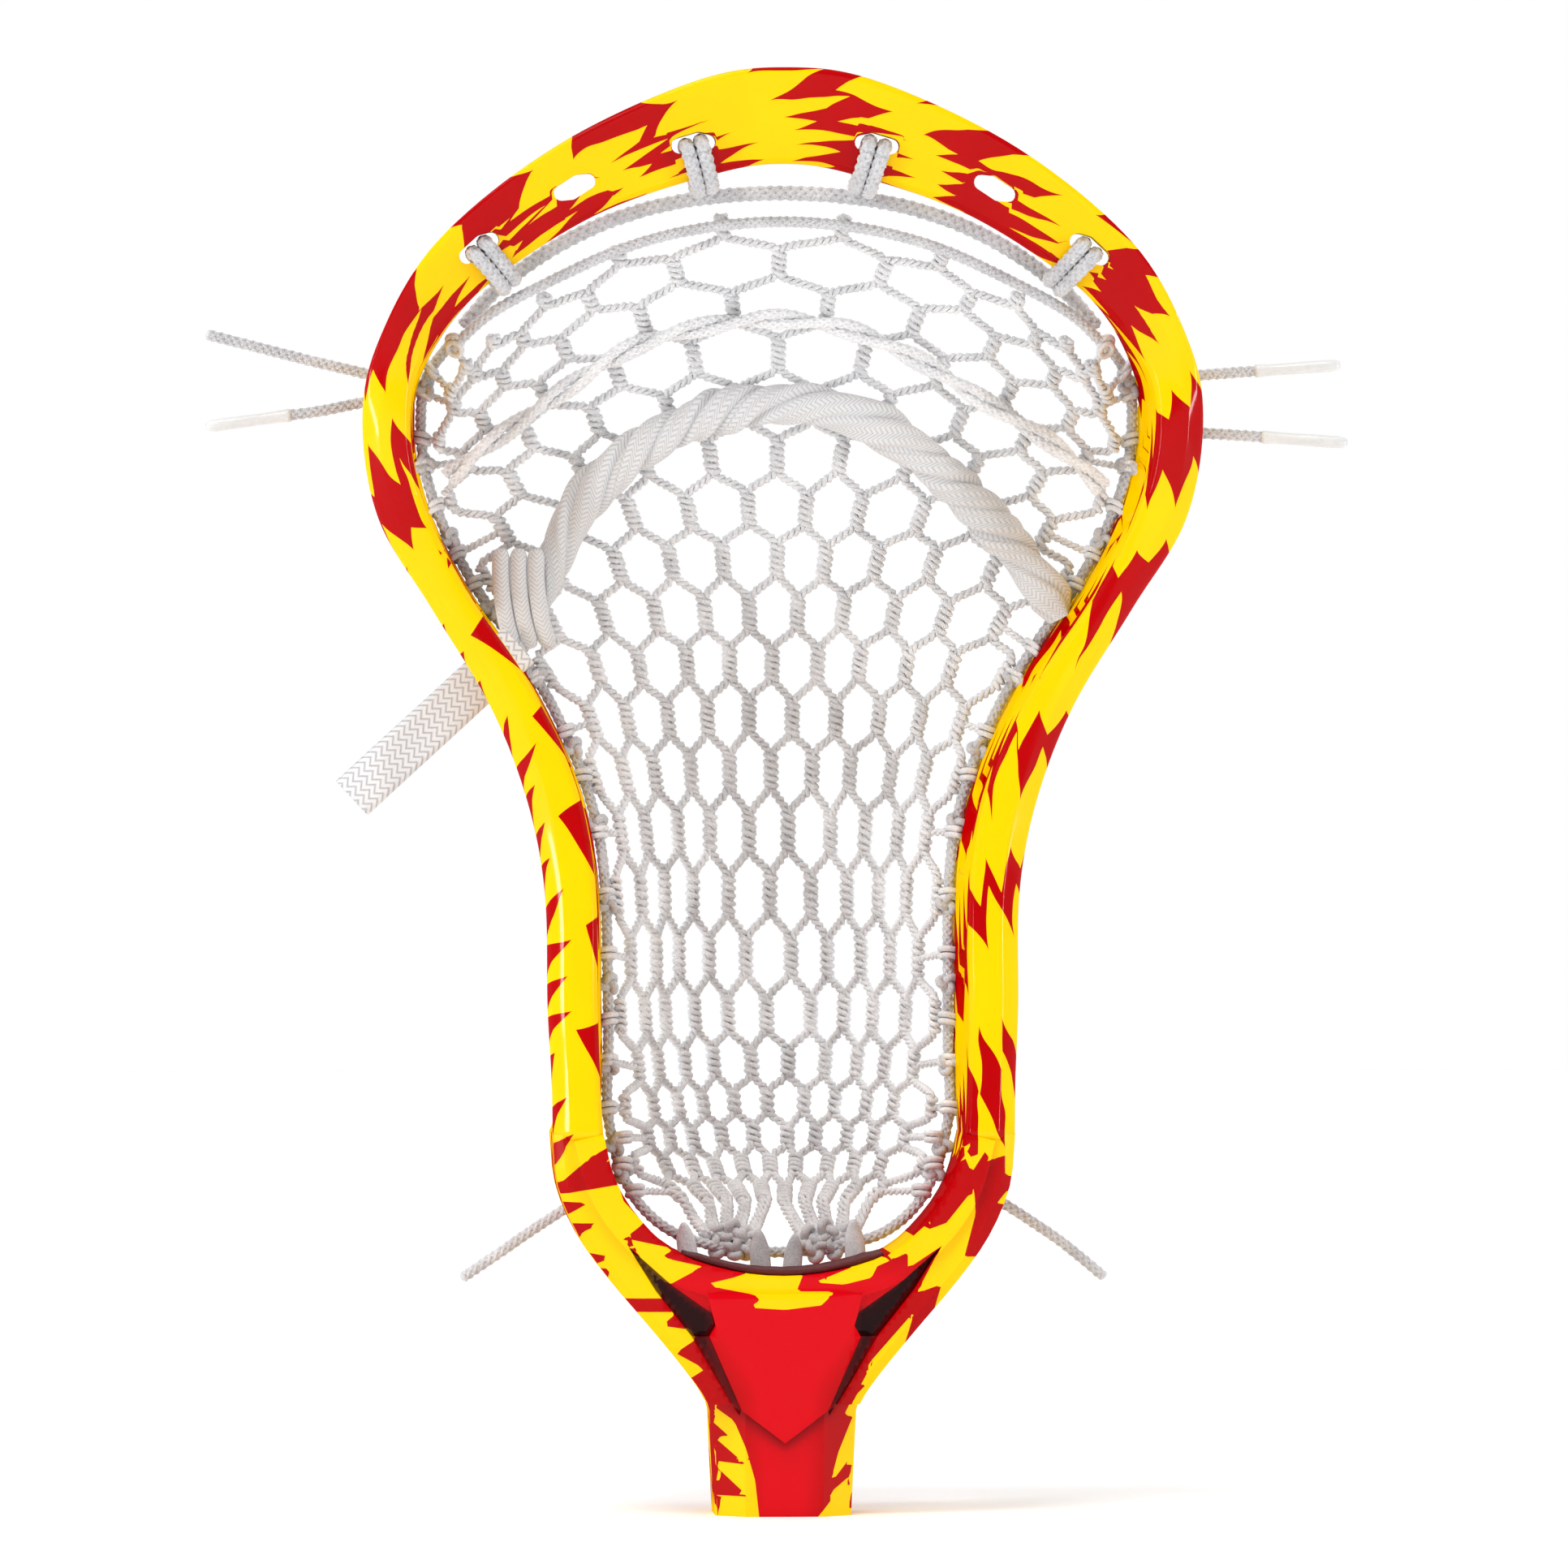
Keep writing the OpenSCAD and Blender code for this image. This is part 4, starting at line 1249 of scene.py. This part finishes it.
def scoop_loop(r):
    """Two turns of cord side by side from a scoop hole, over the lip and past its inner edge."""
    gap, bend, top, bottom = 0.3, 2.0, -0.1, -9.8
    inner, out, rim = rim_frame(r)
    w = edges(r)[2]
    slope = scoop_drop / w
    stand = (loop_d / 2 + gap) * math.sqrt(1 + slope ** 2)

    def front(z):
        return -z * slope - stand

    def back(z):
        return -z * slope + scoop_t + stand

    corners = [(top - bend, front(top - bend)), (top, front(top) + bend), (top, back(top) - bend),
               (top - bend, back(top - bend)), (bottom + bend, back(bottom + bend)),
               (bottom, back(bottom) - bend), (bottom, front(bottom) + bend),
               (bottom + bend, front(bottom + bend))]
    base = inner + out * scoop_hole_out + BACKWARD * (r[4] + scoop_drop * (1 - scoop_hole_out / w))
    turns = []
    steps = 10
    for shift in (-0.53, 0.53):
        points = np.array([base + rim * shift * loop_d * (1.0 - 0.1 * (z - top) / bottom) + out * z
                           + BACKWARD * y for z, y in corners])
        line = smooth(np.vstack([points[-2:], points, points[:3]]), steps)[2 * steps:10 * steps + 1]
        turns.append(braid(resampled(line, 0.4), loop_d, 8.5, 6, facing=tuple(rim)))
    return joined(turns)


def scoop_loops():
    right = joined([scoop_loop(row_at(place)) for place in (scoop_hole_places[0], scoop_hole_places[2])])
    piece = make("scoop_loops_braid", joined([right, mirror_image(right)]), CORD)
    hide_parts("top_string_loops")


def side_strings():
    for side, name in ((1, "right"), (-1, "left")):
        points = [(x * side, y, z) for x, y, z in WHOLE_SIDE_STRING]
        parts = [braid(route(points, 0.5), string_d, 7, facing=(-side, 0, 0))]
        fine = route(points, 1.0)
        every = len(fine) // 11
        for k in range(6, len(fine) - 4, every):
            parts.append(knot(fine[k] + [-side * 0.2, -0.6, 0], 2.1, k * 3 + side))
        piece = make(name + "_side_braid", joined(parts), DARK_CORD)
        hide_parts(name + "_sidewall_string")


def tongue(x, lean, height, width):
    """A felt end that stands up out of a hole in the arch: flat, with a round top."""
    at = np.linspace(0, 1, 16)
    foot = np.interp(abs(x), [p[0] for p in ARCH[::-1]], [p[1] for p in ARCH[::-1]]) - 2.0
    line = np.stack([x + lean * at, 7.2 + 0.5 * np.sin(at * 2.2), foot + (height + 2.0) * at], axis=1)
    half = width / 2 * np.sqrt(np.clip((1.02 - at) / 0.42, 0, 1)) * (1 - 0.12 * at)
    angle = full_turn(18)
    rings = (line[:, None] + (half[:, None] * np.cos(angle))[:, :, None] * np.array([1, 0, 0])
             + (np.minimum(0.95, half)[:, None] * np.sin(angle))[:, :, None] * np.array([0, 1, 0]))
    return loft(rings)


# Each bundle's knots at the net's foot, and each felt end's x, lean, height and width
BUNDLE = [(6.5, 11.8, 60.0), (10.5, 11.6, 61.5), (14.8, 12.0, 61.0), (8.5, 11.4, 57.6), (12.8, 11.6, 58.2)]
TONGUES = [(-20.0, -1.2, 7.0, 4.6), (-4.0, -0.6, 9.0, 4.8), (2.6, 0.9, 8.2, 4.4), (17.0, -0.6, 8.6, 4.8)]


def bottom_strings():
    parts = [braid(route(BOTTOM_STRING, 0.45), string_d, 7)]
    for side in (-1, 1):
        for k, (x, y, z) in enumerate(BUNDLE):
            parts.append(knot(np.array([side * x, y, z]), 2.5, 40 + 7 * k + side))
        parts.append(knot(np.array([side * 34.6, 12.4, 75.0]), 2.2, 90 + side))
    parts += [tongue(*values) for values in TONGUES]
    piece = make("bottom_braid", joined(parts), CORD)
    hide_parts("bottom_string")


top_strings()
scoop_loops()
side_strings()
bottom_strings()


# ---- Shooting strings ----

nylon_d = 2.3
nylon_turns = 5
NYLON = [(-73, 17, 228.5), (-68, 15.5, 233), (-60, 13, 239), (-46, 9.5, 249), (-32, 6, 257.5),
         (-16, 4.5, 262), (0, 4, 263.5), (16, 5, 261), (32, 7.5, 254), (46, 10.5, 245.5), (60, 13.5, 237),
         (68, 16, 231), (72.5, 17.5, 226.5)]
LACE = [(-48.5, 19.5, 213), (-44.5, 18, 221), (-36, 14.5, 231), (-24, 12, 239), (-12, 10.5, 243.5),
        (0, 10, 245), (14, 10.5, 243.5), (28, 13, 236.5), (42, 17, 225), (53, 20, 213), (59.5, 19.5, 204.5)]
# The roll runs on past its CAD node: its ends go back through the net
LACE_START = [(-57.5, 17.5, 190.5), (-53.5, 19.5, 200)]
LACE_FINISH = [(63.2, 19.5, 197.5)]
lace_turn = 36.0
# Creases round the roll: angle, depth and width
CREASES = ((0.3, 0.34, 0.24), (2.3, 0.28, 0.2), (4.5, 0.36, 0.26))
lace_d = 8.0


def nylon_strands():
    path = route(NYLON, 0.5)
    _, side, out = frames(path)
    s = lengths(path)
    off = nylon_d / 2 + 0.05
    for name, phase in (("front", 0.0), ("back", math.pi)):
        angle = phase + 2 * math.pi * nylon_turns * s / s[-1]
        line = path + off * spokes(angle, side, out)
        piece = make(name + "_shooter_strand", braid(line, nylon_d, 8), NYLON_CORD)
        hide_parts("nylon_shooter_" + name)


def rolled_lace():
    """The flat lace rolled through the net: three lobes with deep creases that wind along it."""
    path = route(LACE_START + LACE + LACE_FINISH, 0.6)
    _, side, out = frames(path)
    s = lengths(path)
    n = len(path)
    m = 84
    angle = full_turn(m)
    turn = 2 * math.pi * s / lace_turn + 0.7 * np.sin(s / 11.0)
    swell = 1 + 0.06 * np.sin(s / 5.3) + 0.05 * np.sin(s / 2.9 + 1)
    slim = np.interp(s, [0, 10, 26, s[-1] - 5, s[-1]], [0.42, 0.55, 1.0, 1.0, 0.5])
    rings = np.zeros((n, m, 3))
    flow = np.zeros((n, m, 3))
    for i in range(n):
        a = angle + turn[i]
        r = 1 + 0.05 * np.cos(5 * angle + s[i] / 7)
        for crease, depth, width in CREASES:
            gap = np.mod(angle - crease + math.pi, 2 * math.pi) - math.pi
            fold = 0.07 * np.exp(-((gap - 0.55) / 0.3) ** 2)
            r = r - depth * np.exp(-np.abs(gap / width) ** 1.3) + fold
        r = r * lace_d / 2 * swell[i] * slim[i]
        rings[i] = (path[i] + (r * np.cos(a))[:, None] * side[i] * 1.16
                    + (r * np.sin(a))[:, None] * out[i] * 0.85)
        flow[i, :, 0] = s[i]
        flow[i, :, 1] = angle * lace_d / 2
    piece = make("lace_roll", loft(rings), WEAVE)
    store(piece.data, "flow", flow)
    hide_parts("shooting_lace")


LACE_LOOP = [(-57.5, 15, 213), (-57.5, 15.5, 206), (-56.5, 16, 198), (-54.5, 17, 191)]
strip_pitch = 3.9


def lace_strips():
    """Three turns of the lace side by side where it is tied off."""
    parts = []
    flows = []
    for k in (-1, 0, 1):
        path = route([(x + k * strip_pitch, y, z) for x, y, z in LACE_LOOP], 0.5)
        _, side, out = frames(path)
        s = lengths(path)
        m = 20
        angle = full_turn(m)
        ends = np.clip(np.minimum(s, s[-1] - s) / 2.0, 0.0, 1.0) ** 0.5
        a = (strip_pitch / 2 - 0.02) * (0.5 + 0.5 * ends)
        rings = (path[:, None] + (a[:, None] * np.cos(angle))[:, :, None] * side[:, None]
                 + (0.85 * a[:, None] * np.sin(angle))[:, :, None] * out[:, None])
        parts.append(loft(rings))
        flow = np.zeros((len(path), m, 3))
        flow[:, :, 0] = s[:, None] + k * 1.7
        flow[:, :, 1] = angle * 1.6
        flows.append(flow.reshape(-1, 3))
    piece = make("lace_strips", joined(parts), WEAVE)
    store(piece.data, "flow", np.vstack(flows))
    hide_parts("lace_end_loops")


LACE_TAIL = [(-57.5, 12.5, 191.5), (-61, 12, 188.4), (-67, 11.5, 183), (-76, 11, 174.7), (-85.5, 10.5, 166),
             (-94.5, 10, 157.7)]
lace_t = 1.6


def flat_lace_tail():
    """The lace's flat end: a woven tube pressed flat, cut open at its end."""
    path = route(LACE_TAIL, 0.5)
    _, side, out = frames(path)
    s = lengths(path)
    n = len(path)
    across = np.linspace(-1, 1, 20)
    outline = [(a, 1) for a in across] + [(a, -1) for a in across[::-1]]
    open_end = np.clip((s - s[-1] + 7) / 7, 0, 1) ** 2
    rings = np.zeros((n, len(outline), 3))
    flow = np.zeros((n, len(outline), 3))
    for i in range(n):
        for j, (a, face) in enumerate(outline):
            thick = lace_t / 2 * (1 - abs(a) ** 6) ** 0.5 * (1 + 0.6 * open_end[i])
            wave = 0.25 * math.sin(s[i] / 6 + a * 2)
            rings[i, j] = path[i] + side[i] * a * lace_width / 2 + out[i] * (face * thick + wave)
            flow[i, j] = (s[i], a * lace_width / 2, 0)
    piece = make("lace_end", loft(rings), TAIL_WEAVE)
    store(piece.data, "flow", flow)
    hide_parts("lace_tail")


nylon_strands()
rolled_lace()
lace_strips()
flat_lace_tail()


# ---- Ball stop ----

stop_t = 1.4
stop_half = 22.5
stop_front = -13.0
stop_back = 6.0


def ball_stop():
    """A strip of foam stuck along the arch, its long edges rounded over and pressed thin at its ends."""
    line = smooth([(x, 0, z) for x, z in ARCH[2:] + [(-x, z) for x, z in ARCH[2:-1][::-1]]], 14)
    line = line[np.abs(line[:, 0]) <= stop_half]
    along = unit(np.gradient(line, axis=0))
    up = np.stack([along[:, 2], 0 * along[:, 0], -along[:, 0]], axis=1)
    up = up * np.sign(up[:, 2:3])
    m = 28
    angle = full_turn(m)
    middle, half = (stop_back + stop_front) / 2, (stop_back - stop_front) / 2
    depth = middle + half * np.sign(np.cos(angle)) * np.abs(np.cos(angle)) ** 0.25
    rings = []
    for i, p in enumerate(line):
        edge = min(i, len(line) - 1 - i)
        thick = stop_t * (0.55 + 0.45 * min(1.0, edge / 4))
        rise = thick / 2 + thick / 2 * np.sign(np.sin(angle)) * np.abs(np.sin(angle)) ** 0.35
        rise = rise * (1 + 0.03 * np.sin(i * 1.3 + angle * 3))
        ring = p + np.outer(rise, up[i])
        ring[:, 1] = depth
        rings.append(ring)
    piece = make("stop_pad", loft(rings), FOAM)
    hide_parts("ball_stop")


ball_stop()


# ---- Stage ----

floor_size = 4.0


def stage():
    m = Nodes("floor")
    m.put("Base Color", (0.97, 0.97, 0.97, 1))
    m.put("Roughness", 0.9)
    m.put("Specular IOR Level", 0.1)
    mesh = bpy.data.meshes.new("floor")
    corners = [(x * floor_size, z * floor_size, 0) for x, z in ((-1, -1), (1, -1), (1, 1), (-1, 1))]
    mesh.from_pydata(corners, [], [(0, 1, 2, 3)])
    mesh.materials.append(m.material)
    floor = placed("floor", mesh)


def sky():
    """White behind the object and above it, dimmer in front of it."""
    world = bpy.data.worlds.new("studio")
    world.use_nodes = True
    tree = world.node_tree
    place = tree.nodes.new("ShaderNodeTexCoord")
    parts = tree.nodes.new("ShaderNodeSeparateXYZ")
    tree.links.new(place.outputs["Generated"], parts.inputs[0])
    share = tree.nodes.new("ShaderNodeMapRange")
    for name, value in (("From Min", -0.45), ("From Max", -0.15), ("To Min", 0.34), ("To Max", 1.0)):
        share.inputs[name].default_value = value
    tree.links.new(parts.outputs["Y"], share.inputs["Value"])
    tree.links.new(share.outputs["Result"], tree.nodes["Background"].inputs["Strength"])
    tree.nodes["Background"].inputs["Color"].default_value = (1, 1, 1, 1)
    bpy.context.scene.world = world
    bpy.context.scene.view_settings.view_transform = "Standard"


def aimed(data, name, place, aim):
    light = placed(name, data)
    light.location = place
    light.rotation_euler = (Vector(aim) - Vector(place)).to_track_quat("-Z", "Y").to_euler()


def softbox(name, place, aim, size, power):
    data = bpy.data.lights.new(name, "AREA")
    data.shape = "RECTANGLE"
    data.size, data.size_y = size
    data.energy = power
    aimed(data, name, place, aim)


def top_light(strength, spread):
    data = bpy.data.lights.new("top_light", "SUN")
    data.energy = strength
    data.angle = math.radians(spread)
    aimed(data, "top_light", (-0.5, -0.9, 2.2), (0, 0, 0))


stage()
sky()
softbox("left_strip", (-1.0, -0.55, 0.16), (0, 0, 0.14), (0.07, 0.34), 3.2)
softbox("right_strip", (1.0, -0.55, 0.16), (0, 0, 0.14), (0.07, 0.34), 3.2)
softbox("front_softbox", (-0.5, -1.3, 1.0), (0, 0, 0.16), (0.8, 0.6), 5)
top_light(1.2, 20)
